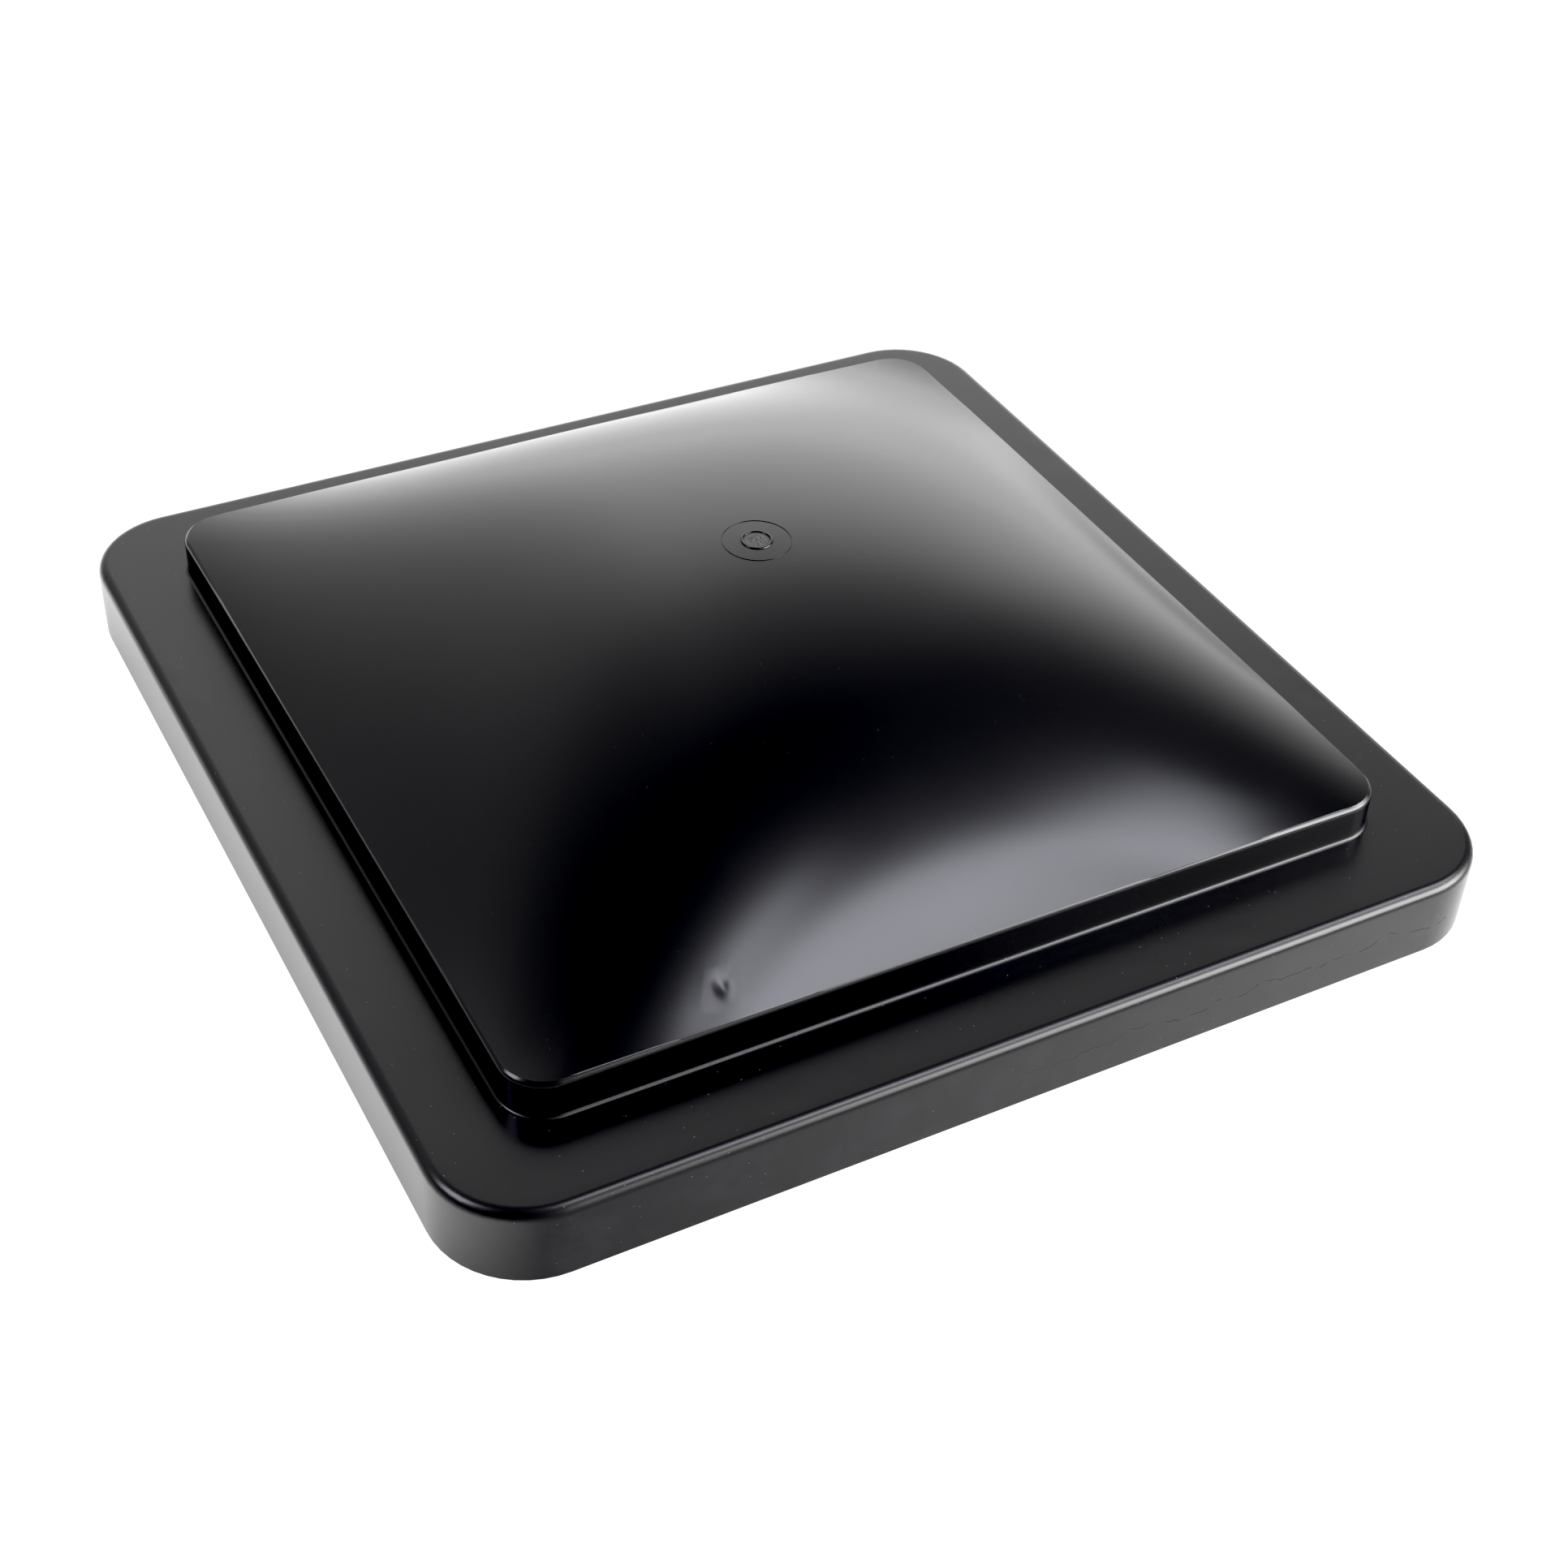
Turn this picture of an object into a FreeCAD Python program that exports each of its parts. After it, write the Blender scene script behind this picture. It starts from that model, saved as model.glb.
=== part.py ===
"""Opening lid of a 14 x 14 inch caravan roof vent, with its hinge, its seal and its lift rail.

Row frame: millimetres, +Z up, origin at the centre of the skirt's bottom edge. The hinge runs along X
at the rear, +Y. The lift rail runs along Y under the crown, and a roller trolley travels along it.
"""

import FreeCAD, Part
import os
import re
import Sketcher
from FreeCAD import Placement, Rotation, Vector

# Driving dimensions, in millimetres.
DIMENSIONS = {
    # the moulded lid
    "lid_width": 400.0,
    "lid_length": 408.8,
    "lid_corner": 34.0,
    "lid_edge": 4.0,
    "skirt_height": 30.0,
    "wall": 2.5,
    "crown_width": 336.6,
    "crown_length": 342.6,
    "crown_shift": 1.7,
    "crown_corner": 16.0,
    "rim_level": 44.6,
    "rim_edge": 2.4,
    "rim_foot": 1.2,
    "crown_level": 96.6,
    "crown_fullness": 0.2,
    "ceiling_drop": 2.8,
    "gate_ring": 13.0,
    "gate_line": 0.5,
    "gate_rim": 6.0,
    "gate_dish": 4.6,
    "gate_stub": 2.2,
    "gate_rise": 0.4,
    # ribs, gussets and bosses under it
    "rib": 1.6,
    "rib_height": 3.0,
    "gusset_reach": 7.5,
    "gusset_drop": 18.0,
    "gusset_tip": 2.0,
    "gusset_pitch": 60.0,
    "boss_radius": 4.6,
    "pilot_gap": 0.05,
    "rail_pilot": 6.5,
    "leaf_pilot": 5.4,
    # the foam seal
    "seal_inside": 174.0,
    "seal_width": 14.0,
    "seal_height": 8.0,
    "seal_corner": 16.0,
    "seal_gap": 0.4,
    # the continuous hinge
    "axis_back": 195.0,
    "axis_level": 14.0,
    "knuckle_pitch": 24.0,
    "knuckle_gap": 0.5,
    "knuckle_radius": 3.0,
    "leaf": 1.2,
    "leaf_relief": 0.6,
    "pin_radius": 1.6,
    "running_gap": 0.05,
    "lid_leaf_top": 26.4,
    "base_leaf_reach": 13.0,
    "base_leaf_foot": 1.0,
    "base_leaf_bend": 1.8,
    "fixing_level": 6.5,
    "fixing_radius": 2.1,
    "fixing_inner": 80.0,
    "fixing_outer": 240.0,
    "cap_radius": 2.9,
    "cap_length": 2.4,
    "leaf_screw_pitch": 56.0,
    "leaf_screw_level": 21.6,
    # screws and washers
    "screw_radius": 1.75,
    "screw_reach": 6.8,
    "screw_point": 0.8,
    "head_radius": 3.2,
    "head_height": 2.2,
    "head_edge": 0.9,
    "recess_width": 0.9,
    "recess_depth": 1.1,
    "clearance": 0.25,
    "washer_radius": 3.6,
    "washer_thick": 0.8,
    # the lift rail and its end stops
    "rail_level": 70.0,
    "rail_length": 200.0,
    "rail_width": 26.4,
    "rail_height": 13.4,
    "rail_sheet": 1.2,
    "rail_slot": 8.0,
    "tab_length": 18.0,
    "rail_screw_apart": 15.0,
    "rail_screw_along": 218.0,
    "stop_plug": 12.0,
    "stop_gap": 0.3,
    "stop_flange": 3.0,
    # the trolley in the rail
    "roller_radius": 5.2,
    "roller_width": 5.0,
    "roller_edge": 0.7,
    "side_play": 0.1,
    "axle_radius": 2.5,
    "axle_length": 22.4,
    "hanger_thick": 6.0,
    "hanger_radius": 7.0,
    "hanger_top": 4.5,
    "hanger_drop": 14.0,
    "spacer_radius": 4.2,
    "spacer_thick": 0.6,
    "clip_radius": 3.9,
    "clip_thick": 0.7,
    "bush_radius": 4.0,
    "bush_bore": 3.05,
    "bush_length": 7.0,
}
KNUCKLES = 13
LEAF_SCREWS = 6
GUSSETS = 5

doc = FreeCAD.newDocument("roof_vent_lid")
sheet = doc.addObject("Spreadsheet::Sheet", "Sizes")
for row, (alias, number) in enumerate(DIMENSIONS.items(), start=1):
    sheet.set(f"A{row}", alias)
    sheet.set(f"B{row}", str(number))
    sheet.setAlias(f"B{row}", alias)
doc.recompute()


def size(alias):
    """A driving dimension, as the sheet holds it."""
    return float(sheet.get(alias))


def formula(text):
    """Arithmetic on dimensions, as an expression on the sheet's cells."""
    return re.sub(r"[a-z][a-z_]{2,}", lambda word: f"Sizes.{word.group()}", str(text))


def bind(thing, **formulas):
    """Bind an object's properties to arithmetic on the sheet's cells."""
    for name, text in formulas.items():
        thing.setExpression(name, formula(text))
    return thing


def put(thing, x="0", y="0", z="0"):
    """Bind an object's position to arithmetic on the sheet's cells."""
    for letter, text in (("x", x), ("y", y), ("z", z)):
        thing.setExpression(f"Placement.Base.{letter}", formula(text))
    return thing


# Places that several pieces share.
CEILING = "skirt_height - wall"
AXLE_LEVEL = "(rail_level - rail_height / 2)"
BUSH_LEVEL = f"({AXLE_LEVEL} - hanger_drop)"
LEAF_BACK = "(axis_back + knuckle_radius)"
HINGE_HALF = f"({KNUCKLES} * knuckle_pitch / 2)"
NEAR = 0.01
ALONG = {
    "X": Rotation(Vector(0, 1, 0), 90),
    "Y": Rotation(Vector(1, 0, 0), -90),
    "Z": Rotation(),
}


# Part primitives and booleans ---------------------------------------------------------------------


def block(name, low, length, width, height):
    """A box from its lowest corner."""
    box = bind(doc.addObject("Part::Box", name), Length=length, Width=width, Height=height)
    return put(box, *low)


def centred_block(name, width, length, bottom, top, middle="0"):
    """A box centred on X, and on Y at the middle given."""
    low = (f"-({width}) / 2", f"{middle} - ({length}) / 2", bottom)
    return block(name, low, width, length, f"({top}) - ({bottom})")


def rod(name, along, start, radius, height):
    """A cylinder from its first end's centre, along +X, +Y or +Z."""
    cylinder = bind(doc.addObject("Part::Cylinder", name), Radius=radius, Height=height)
    cylinder.Placement = Placement(Vector(), ALONG[along])
    return put(cylinder, *start)


def join(name, things):
    """Several solids that touch, as one."""
    fuse = doc.addObject("Part::MultiFuse", name)
    fuse.Shapes = things
    fuse.Refine = True
    return fuse


def overlap(name, one, other):
    """What two solids share."""
    common = doc.addObject("Part::MultiCommon", name)
    common.Shapes = [one, other]
    return common


def cut(name, base, tools):
    """A solid less one or more others."""
    less = doc.addObject("Part::Cut", name)
    less.Base = base
    less.Tool = tools[0] if len(tools) == 1 else join(f"{name}_tools", tools)
    return less


def round_edges(name, base, choices):
    """Round the edges that each choice picks, to that choice's radius."""
    doc.recompute()
    picked = []
    for number, edge in enumerate(base.Shape.Edges, start=1):
        for picks, radius in choices:
            if picks(edge.BoundBox):
                picked.append((number, radius, radius))
    fillet = doc.addObject("Part::Fillet", name)
    fillet.Base = base
    fillet.Edges = picked
    return fillet


def upright(box):
    """Whether an edge's box is that of an upright line."""
    return box.XLength < NEAR and box.YLength < NEAR


def slab(name, width, length, corner, bottom, top, middle="0"):
    """A centred box with its four upright edges rounded."""
    box = centred_block(f"{name}_box", width, length, bottom, top, middle)
    return round_edges(name, box, [(upright, corner)])


def ring(name, inside, thick, corner, bottom, top):
    """A square frame round the lid's middle, inside being half its clear width."""
    width = f"2 * ({inside})"
    outer_width = f"2 * ({inside} + {thick})"
    outer = slab(f"{name}_out", outer_width, outer_width, corner + size(thick), bottom, top)
    inner = slab(f"{name}_in", width, width, corner, f"{bottom} - 1", f"{top} + 1")
    return cut(name, outer, [inner])


def group(label, master, places):
    """Separate copies of one master piece, as one node."""
    links = []
    for number, place in enumerate(places):
        link = doc.addObject("App::Link", f"{label}_{number}")
        link.LinkedObject = master
        link.LinkTransform = True
        link.Placement = place
        links.append(link)
    compound = doc.addObject("Part::Compound", label)
    compound.Links = links
    return compound


# PartDesign bodies --------------------------------------------------------------------------------


def new_body(name, *place):
    return put(doc.addObject("PartDesign::Body", name), *place)


def new_sketch(body, role, offset="0"):
    """An empty sketch parallel to one of the body's own origin planes."""
    sketch = body.newObject("Sketcher::SketchObject", f"{body.Name}_sketch")
    plane = next(f for f in body.Origin.OriginFeatures if f.Role == role)
    sketch.AttachmentSupport = [(plane, "")]
    sketch.MapMode = "FlatFace"
    sketch.setExpression("AttachmentOffset.Base.z", formula(offset))
    return sketch


def hold(sketch, constraint, text):
    """Add a constraint and bind its value to the sheet."""
    number = sketch.addConstraint(constraint)
    sketch.setExpression(f"Constraints[{number}]", formula(text))


def add_circle(sketch, radius):
    """A circle round the sketch's origin."""
    circle = sketch.addGeometry(Part.Circle(Vector(), Vector(0, 0, 1), 1.0), False)
    sketch.addConstraint(Sketcher.Constraint("Coincident", circle, 3, -1, 1))
    hold(sketch, Sketcher.Constraint("Radius", circle, 1.0), radius)


def add_outline(sketch, corners):
    """A closed outline of straight lines, each corner held by two formulas."""
    count = len(corners)
    points = [Vector(number, number * number, 0) for number in range(count)]
    for number, point in enumerate(points):
        sketch.addGeometry(Part.LineSegment(point, points[(number + 1) % count]), False)
    for number in range(count):
        sketch.addConstraint(Sketcher.Constraint("Coincident", number, 2, (number + 1) % count, 1))
    for number, (across, up) in enumerate(corners):
        hold(sketch, Sketcher.Constraint("DistanceX", -1, 1, number, 1, 1.0), across)
        hold(sketch, Sketcher.Constraint("DistanceY", -1, 1, number, 1, 1.0), up)


def rectangle(low_x, low_y, high_x, high_y):
    return [(low_x, low_y), (high_x, low_y), (high_x, high_y), (low_x, high_y)]


def add_pad(body, sketch, length):
    """Thicken a sketch to both sides."""
    pad = body.newObject("PartDesign::Pad", f"{body.Name}_pad")
    pad.Profile = sketch
    pad.Midplane = True
    return bind(pad, Length=length)


def add_pocket(body, sketch, length):
    """Cut a sketch's outline away to both sides, and check that it cut something."""
    doc.recompute()
    before = body.Shape.Volume
    pocket = body.newObject("PartDesign::Pocket", f"{body.Name}_pocket")
    pocket.Profile = sketch
    pocket.Midplane = True
    bind(pocket, Length=length)
    doc.recompute()
    if body.Shape.Volume >= before:
        raise ValueError(f"{body.Name}: the pocket cuts nothing")


def add_turned(body, sketch, axis):
    """Turn a sketch round its own axis."""
    turned = body.newObject("PartDesign::Revolution", f"{body.Name}_turned")
    turned.Profile = sketch
    turned.ReferenceAxis = (sketch, [axis])
    turned.Angle = 360.0


def turned_tube(name, outer, inner, length, place):
    """A ring or sleeve along X, centred on its place."""
    body = new_body(name, *place)
    sketch = new_sketch(body, "YZ_Plane")
    add_circle(sketch, outer)
    if inner:
        add_circle(sketch, inner)
    add_pad(body, sketch, length)
    return body


# The moulded lid ----------------------------------------------------------------------------------


def crown_solid(name, width, length, rim, top, depth):
    """A solid whose top falls from a crown to a level rim, the same way along X and along Y.

    Across each half the height is 1 - (1 - full) u^2 - full u^4 of the crown's, full being the
    fullness. A surface of degree 4 holds that exactly, and it is carried a little past the rim.
    """
    past = 1.05
    degree = 4
    full = size("crown_fullness")

    def fall(number):
        """The pole's height: the polynomial with each power shared over all the arguments."""
        ends = [past] * number + [-past] * (degree - number)
        pairs = sum(ends[i] * ends[j] for i in range(degree) for j in range(i))
        return 1 - (1 - full) * pairs / 6 - full * ends[0] * ends[1] * ends[2] * ends[3]

    surface = Part.BezierSurface()
    surface.increase(degree, degree)
    for i in range(degree + 1):
        for j in range(degree + 1):
            x = width / 2 * past * (2 * i / degree - 1)
            y = length / 2 * past * (2 * j / degree - 1)
            surface.setPole(i + 1, j + 1, Vector(x, y, rim + (top - rim) * fall(i) * fall(j)))
    crown = doc.addObject("Part::Feature", name)
    crown.Shape = surface.toShape().extrude(Vector(0, 0, -depth))
    return put(crown, "0", "crown_shift", "0")


def make_outside():
    """The lid as if it were solid: flange, skirt, riser and crown, with its edges rounded."""
    crown_width = size("crown_width")
    crown_length = size("crown_length")
    rim = size("rim_level")
    top = size("crown_level")
    flange = size("skirt_height")
    skirt = slab("skirt", "lid_width", "lid_length", size("lid_corner"), "0", "skirt_height")
    cap = crown_solid("cap", crown_width, crown_length, rim, top, top - rim + size("wall"))
    corner = size("crown_corner")
    riser = slab(
        "riser", "crown_width", "crown_length", corner, "skirt_height - 1", "crown_level + 1",
        "crown_shift",
    )
    base = slab(
        "riser_base", "crown_width", "crown_length", corner, "skirt_height - wall", "rim_level",
        "crown_shift",
    )
    crown = overlap("crown", cap, riser)
    whole = join("outside", [skirt, base, crown])
    reach = crown_length / 2 + size("crown_shift") + 1

    def flange_edge(box):
        return abs(box.ZMin - flange) < NEAR and box.ZLength < NEAR and farthest(box) > reach

    def foot_edge(box):
        return abs(box.ZMin - flange) < NEAR and box.ZLength < NEAR and farthest(box) < reach

    def rim_edge(box):
        return box.ZMin > rim - 1 and box.ZMax < rim + 2 and farthest(box) < reach

    choices = [
        (flange_edge, size("lid_edge")),
        (foot_edge, size("rim_foot")),
        (rim_edge, size("rim_edge")),
    ]
    return round_edges("outside_rounded", whole, choices)


def farthest(box):
    """How far from the lid's middle an edge's box reaches."""
    return max(abs(box.XMin), abs(box.XMax), abs(box.YMin), abs(box.YMax))


def make_hollows():
    """The room inside the skirt, and the room inside the riser and the crown."""
    wall = size("wall")
    drop = size("ceiling_drop")
    rim = size("rim_level") - drop
    top = size("crown_level") - drop
    width = size("crown_width") - 2 * wall
    length = size("crown_length") - 2 * wall
    skirt_room = slab(
        "skirt_room", "lid_width - 2 * wall", "lid_length - 2 * wall", size("lid_corner") - wall,
        "-1", CEILING,
    )
    cap_room = crown_solid("cap_room", width, length, rim, top, top)
    riser_room = slab(
        "riser_room", "crown_width - 2 * wall", "crown_length - 2 * wall",
        size("crown_corner") - wall, "0", "crown_level", "crown_shift",
    )
    return [skirt_room, overlap("crown_room", cap_room, riser_room)]


def make_gate_mark():
    """What stands on the crown's top where the mould was filled: a fine line round a rim and a stub."""
    centre = ("0", "0", "crown_level - wall / 2")
    line = rod("gate_line_out", "Z", centre, "gate_ring", "wall / 2")
    inside = rod("gate_line_in", "Z", ("0", "0", "0"), "gate_ring - gate_line", "2 * crown_level")
    rim = rod("gate_rim_out", "Z", centre, "gate_rim", "wall / 2 + gate_rise")
    level = "crown_level + gate_rise / 4"
    dish = rod("gate_dish_cut", "Z", ("0", "0", level), "gate_dish", "gate_rise")
    stub = rod("gate_stub_blank", "Z", centre, "gate_stub", "wall / 2 + 3 * gate_rise / 4")
    return [cut("gate_line_ring", line, [inside]), cut("gate_rim_ring", rim, [dish]), stub]


def rail_screw_places():
    """X and Y of the lift rail's four screws."""
    return [
        (f"{across} * rail_screw_apart / 2", f"{along} * rail_screw_along / 2")
        for across in (-1, 1)
        for along in (-1, 1)
    ]


def leaf_screw_places():
    """X of the hinge leaf's screws."""
    return [f"{n - (LEAF_SCREWS - 1) / 2} * leaf_screw_pitch" for n in range(LEAF_SCREWS)]


def make_bosses(outside):
    """The bosses that the rail's ends are screwed to, grown up into the crown."""
    parts = []
    height = "crown_level - rail_level"
    for n, (x, y) in enumerate(rail_screw_places()):
        parts.append(rod(f"boss_{n}", "Z", (x, y, "rail_level"), "boss_radius", height))
    for n, side in enumerate((-1, 1)):
        low = ("-rail_screw_apart / 2", f"{side} * rail_screw_along / 2 - rib", "rail_level + rib")
        parts.append(block(f"boss_web_{n}", low, "rail_screw_apart", "2 * rib", height))
    return overlap("bosses", join("boss_blanks", parts), outside)


def make_pads():
    """The pads inside the rear skirt that the hinge leaf is screwed to."""
    depth = f"lid_length / 2 - wall / 2 - {LEAF_BACK}"
    return [
        rod(f"pad_{n}", "Y", (x, LEAF_BACK, "leaf_screw_level"), "boss_radius", depth)
        for n, x in enumerate(leaf_screw_places())
    ]


def make_pilots():
    """Blind screw holes in the bosses and the pads."""
    radius = "screw_radius + pilot_gap"
    holes = []
    for n, (x, y) in enumerate(rail_screw_places()):
        holes.append(rod(f"pilot_{n}", "Z", (x, y, "rail_level"), radius, "rail_pilot"))
    for n, x in enumerate(leaf_screw_places()):
        start = (x, LEAF_BACK, "leaf_screw_level")
        holes.append(rod(f"leaf_pilot_{n}", "Y", start, radius, "leaf_pilot"))
    return holes


def make_gussets():
    """Small webs between the skirt and the flange, on the three sides away from the hinge."""
    gussets = []
    sides = (
        ("left", -90, "-lid_width / 2 + wall / 2", "{0}"),
        ("right", 90, "lid_width / 2 - wall / 2", "{0}"),
        ("front", 0, "{0}", "-lid_length / 2 + wall / 2"),
    )
    for side, turn, x, y in sides:
        for n in range(GUSSETS):
            along = f"{n - (GUSSETS - 1) / 2} * gusset_pitch"
            gusset = doc.addObject("Part::Wedge", f"gusset_{side}_{n}")
            gusset.Xmin = 0
            gusset.Ymin = 0
            gusset.Zmin = 0
            bind(gusset, Xmax="rib", X2max="rib", Ymax="gusset_reach + wall / 2")
            bind(gusset, Zmax="gusset_drop", Z2max="gusset_drop", Z2min="gusset_drop - gusset_tip")
            gusset.X2min = 0
            gusset.Placement = Placement(Vector(), Rotation(Vector(0, 0, 1), turn))
            gussets.append(
                put(gusset, x.format(along), y.format(along), f"{CEILING} + 0.2 - gusset_drop")
            )
    return gussets


def make_lid_shell():
    """The moulding: a thin shell with what stands on its underside."""
    outside = make_outside()
    shell = cut("shell", outside, make_hollows())
    corner = size("seal_corner")
    low = f"({CEILING} - rib_height)"
    top = f"({CEILING} + 0.2)"
    inner = "seal_inside - seal_gap - rib"
    outer = "seal_inside + seal_width + seal_gap"
    under = [
        ring("inner_rib", inner, "rib", corner, low, top),
        ring("outer_rib", outer, "rib", corner + size("seal_width"), low, top),
        make_bosses(outside),
    ]
    lid = join("lid_blank", [shell] + under + make_pads() + make_gussets() + make_gate_mark())
    return cut("lid_shell", lid, make_pilots())


def make_weather_seal():
    """A foam ring between the two ribs under the flange."""
    bottom = f"({CEILING} - seal_height)"
    top = f"({CEILING})"
    return ring("weather_seal", "seal_inside", "seal_width", size("seal_corner"), bottom, top)


# The continuous hinge -----------------------------------------------------------------------------


def knuckle_spans(first):
    """Start of every second knuckle along X."""
    return [f"-{HINGE_HALF} + {n} * knuckle_pitch + knuckle_gap / 2" for n in range(first, KNUCKLES, 2)]


def make_leaf(name, first, plates, link):
    """A leaf: its plates, and a knuckle and a link to it at every second place."""
    parts = list(plates)
    long = "knuckle_pitch - knuckle_gap"
    for n, start in enumerate(knuckle_spans(first)):
        centre = (start, "axis_back", "axis_level")
        parts.append(rod(f"{name}_knuckle_{n}", "X", centre, "knuckle_radius", long))
        low, width, height = link
        parts.append(block(f"{name}_link_{n}", (start, *low), long, width, height))
    return join(f"{name}_blank", parts)


def bore_of(name):
    """The hole along a leaf's knuckles, a running fit round the pin."""
    start = (f"-{HINGE_HALF} - 1", "axis_back", "axis_level")
    return rod(f"{name}_bore", "X", start, "pin_radius + running_gap", f"2 * {HINGE_HALF} + 2")


def make_hinge_lid_leaf():
    """The leaf that stands against the pads inside the rear skirt."""
    front = f"{LEAF_BACK} - leaf"
    foot = "(axis_level + knuckle_radius + leaf_relief)"
    low = (f"-{HINGE_HALF} + knuckle_gap / 2", front, foot)
    long = f"2 * {HINGE_HALF} - knuckle_gap"
    plate = block("lid_leaf_plate", low, long, "leaf", f"lid_leaf_top - {foot}")
    link = ((front, "axis_level"), "leaf", f"{foot} - axis_level")
    blank = make_leaf("lid_leaf", 0, [plate], link)
    holes = [
        rod(
            f"lid_leaf_hole_{n}", "Y", (x, f"{front} - 1", "leaf_screw_level"),
            "screw_radius + clearance", "leaf + 2",
        )
        for n, x in enumerate(leaf_screw_places())
    ]
    return cut("hinge_lid_leaf", blank, [bore_of("lid_leaf")] + holes)


def make_hinge_base_leaf():
    """The leaf that runs forward from the pin and turns down the outside of the vent's upstand."""
    top = "(axis_level + knuckle_radius)"
    face = "(axis_back - base_leaf_reach - leaf)"
    near = "(axis_back - knuckle_radius - leaf_relief)"
    left = f"-{HINGE_HALF} + knuckle_gap / 2"
    long = f"2 * {HINGE_HALF} - knuckle_gap"
    flat = block("base_leaf_flat", (left, face, f"{top} - leaf"), long, f"{near} - {face}", "leaf")
    drop = f"{top} - base_leaf_foot"
    down = block("base_leaf_down", (left, face, "base_leaf_foot"), long, "leaf", drop)
    link = ((near, f"{top} - leaf"), f"axis_back - {near}", "leaf")
    blank = make_leaf("base_leaf", 1, [flat, down], link)

    def bend(box):
        level = size("axis_level") + size("knuckle_radius")
        outer = size("axis_back") - size("base_leaf_reach") - size("leaf")
        return box.XLength > 1 and abs(box.YMax - outer) < NEAR and abs(box.ZMin - level) < NEAR

    bent = round_edges("base_leaf_bent", blank, [(bend, size("base_leaf_bend"))])
    holes = [
        rod(
            f"fixing_{spacing}_{side}", "Y",
            (f"{side} * {spacing} / 2", f"{face} - 1", "fixing_level"),
            "fixing_radius", "leaf + 2",
        )
        for spacing in ("fixing_inner", "fixing_outer")
        for side in (-1, 1)
    ]
    return cut("hinge_base_leaf", bent, [bore_of("base_leaf")] + holes)


def make_hinge_pin():
    """The wire pin, as long as the knuckles and both caps."""
    reach = f"({HINGE_HALF} + knuckle_gap / 2 + cap_length)"
    start = (f"-{reach}", "axis_back", "axis_level")
    return rod("hinge_pin", "X", start, "pin_radius", f"2 * {reach}")


def make_hinge_pin_caps():
    """A push-on cap on each end of the pin."""
    cap = turned_tube("pin_cap", "cap_radius", "pin_radius", "cap_length", ("0", "0", "0"))
    reach = KNUCKLES * size("knuckle_pitch") / 2 + size("knuckle_gap") / 2 + size("cap_length") / 2
    ends = [
        Placement(Vector(side * reach, size("axis_back"), size("axis_level")), Rotation())
        for side in (-1, 1)
    ]
    return group("hinge_pin_caps", cap, ends)


# Screws and washers -------------------------------------------------------------------------------


def make_screw():
    """A pan-head screw pointing up +Z from the underside of its head, with a cross recess."""
    screw = new_body("screw")
    outline = [
        ("0", "-head_height"),
        ("head_radius - head_edge", "-head_height"),
        ("head_radius", "head_edge - head_height"),
        ("head_radius", "0"),
        ("screw_radius", "0"),
        ("screw_radius", "screw_reach - screw_point"),
        ("screw_radius / 4", "screw_reach"),
        ("0", "screw_reach"),
    ]
    profile = new_sketch(screw, "XZ_Plane")
    add_outline(profile, outline)
    add_turned(screw, profile, "V_Axis")
    half = "recess_width / 2"
    arm = "head_radius - head_edge"
    for low_x, low_y in ((half, arm), (arm, half)):
        recess = new_sketch(screw, "XY_Plane", "-head_height")
        add_outline(recess, rectangle(f"-({low_x})", f"-({low_y})", low_x, low_y))
        add_pocket(screw, recess, "2 * recess_depth")
    return screw


def make_washer():
    """A flat washer lying on the XY plane, upwards from it."""
    disc = rod("washer_disc", "Z", ("0", "0", "0"), "washer_radius", "washer_thick")
    hole = rod("washer_hole", "Z", ("0", "0", "-1"), "screw_radius + clearance", "washer_thick + 2")
    return cut("washer", disc, [hole])


def make_screws_and_washers():
    """Both sets of screws, each with its washers, from one screw and one washer."""
    screw = make_screw()
    washer = make_washer()
    leaf_front = size("axis_back") + size("knuckle_radius") - size("leaf")
    leaf_places = []
    for n in range(LEAF_SCREWS):
        x = (n - (LEAF_SCREWS - 1) / 2) * size("leaf_screw_pitch")
        spot = Vector(x, leaf_front - size("washer_thick"), size("leaf_screw_level"))
        leaf_places.append(Placement(spot, ALONG["Y"]))
    rail_under = size("rail_level") - size("rail_sheet") - size("washer_thick")
    rail_places = []
    for across in (-1, 1):
        for along in (-1, 1):
            x = across * size("rail_screw_apart") / 2
            y = along * size("rail_screw_along") / 2
            rail_places.append(Placement(Vector(x, y, rail_under), ALONG["Z"]))
    return [
        group("hinge_screws", screw, leaf_places),
        group("hinge_washers", washer, leaf_places),
        group("rail_screws", screw, rail_places),
        group("rail_washers", washer, rail_places),
    ]


# The lift rail ------------------------------------------------------------------------------------


def make_lift_rail():
    """A lipped channel, open downwards, whose top runs on at each end as a screw tab."""
    body = new_body("lift_rail", "0", "0", "rail_level")
    half = "rail_width / 2"
    inner = "(rail_width / 2 - rail_sheet)"
    slot = "rail_slot / 2"
    depth = "-rail_height"
    lip = "rail_sheet - rail_height"
    profile = [
        (f"-{half}", "0"), (f"-{half}", depth), (f"-{slot}", depth), (f"-{slot}", lip),
        (f"-{inner}", lip), (f"-{inner}", "-rail_sheet"), (inner, "-rail_sheet"), (inner, lip),
        (slot, lip), (slot, depth), (half, depth), (half, "0"),
    ]
    channel = new_sketch(body, "XZ_Plane")
    add_outline(channel, profile)
    add_pad(body, channel, "rail_length")
    tabs = new_sketch(body, "XZ_Plane")
    add_outline(tabs, rectangle(f"-{half}", "-rail_sheet", half, "0"))
    add_pad(body, tabs, "rail_length + 2 * tab_length")
    for x, y in rail_screw_places():
        hole = new_sketch(body, "XY_Plane")
        add_circle_at(hole, "screw_radius + clearance", x, y)
        add_pocket(body, hole, "4 * rail_sheet")
    return body


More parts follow.
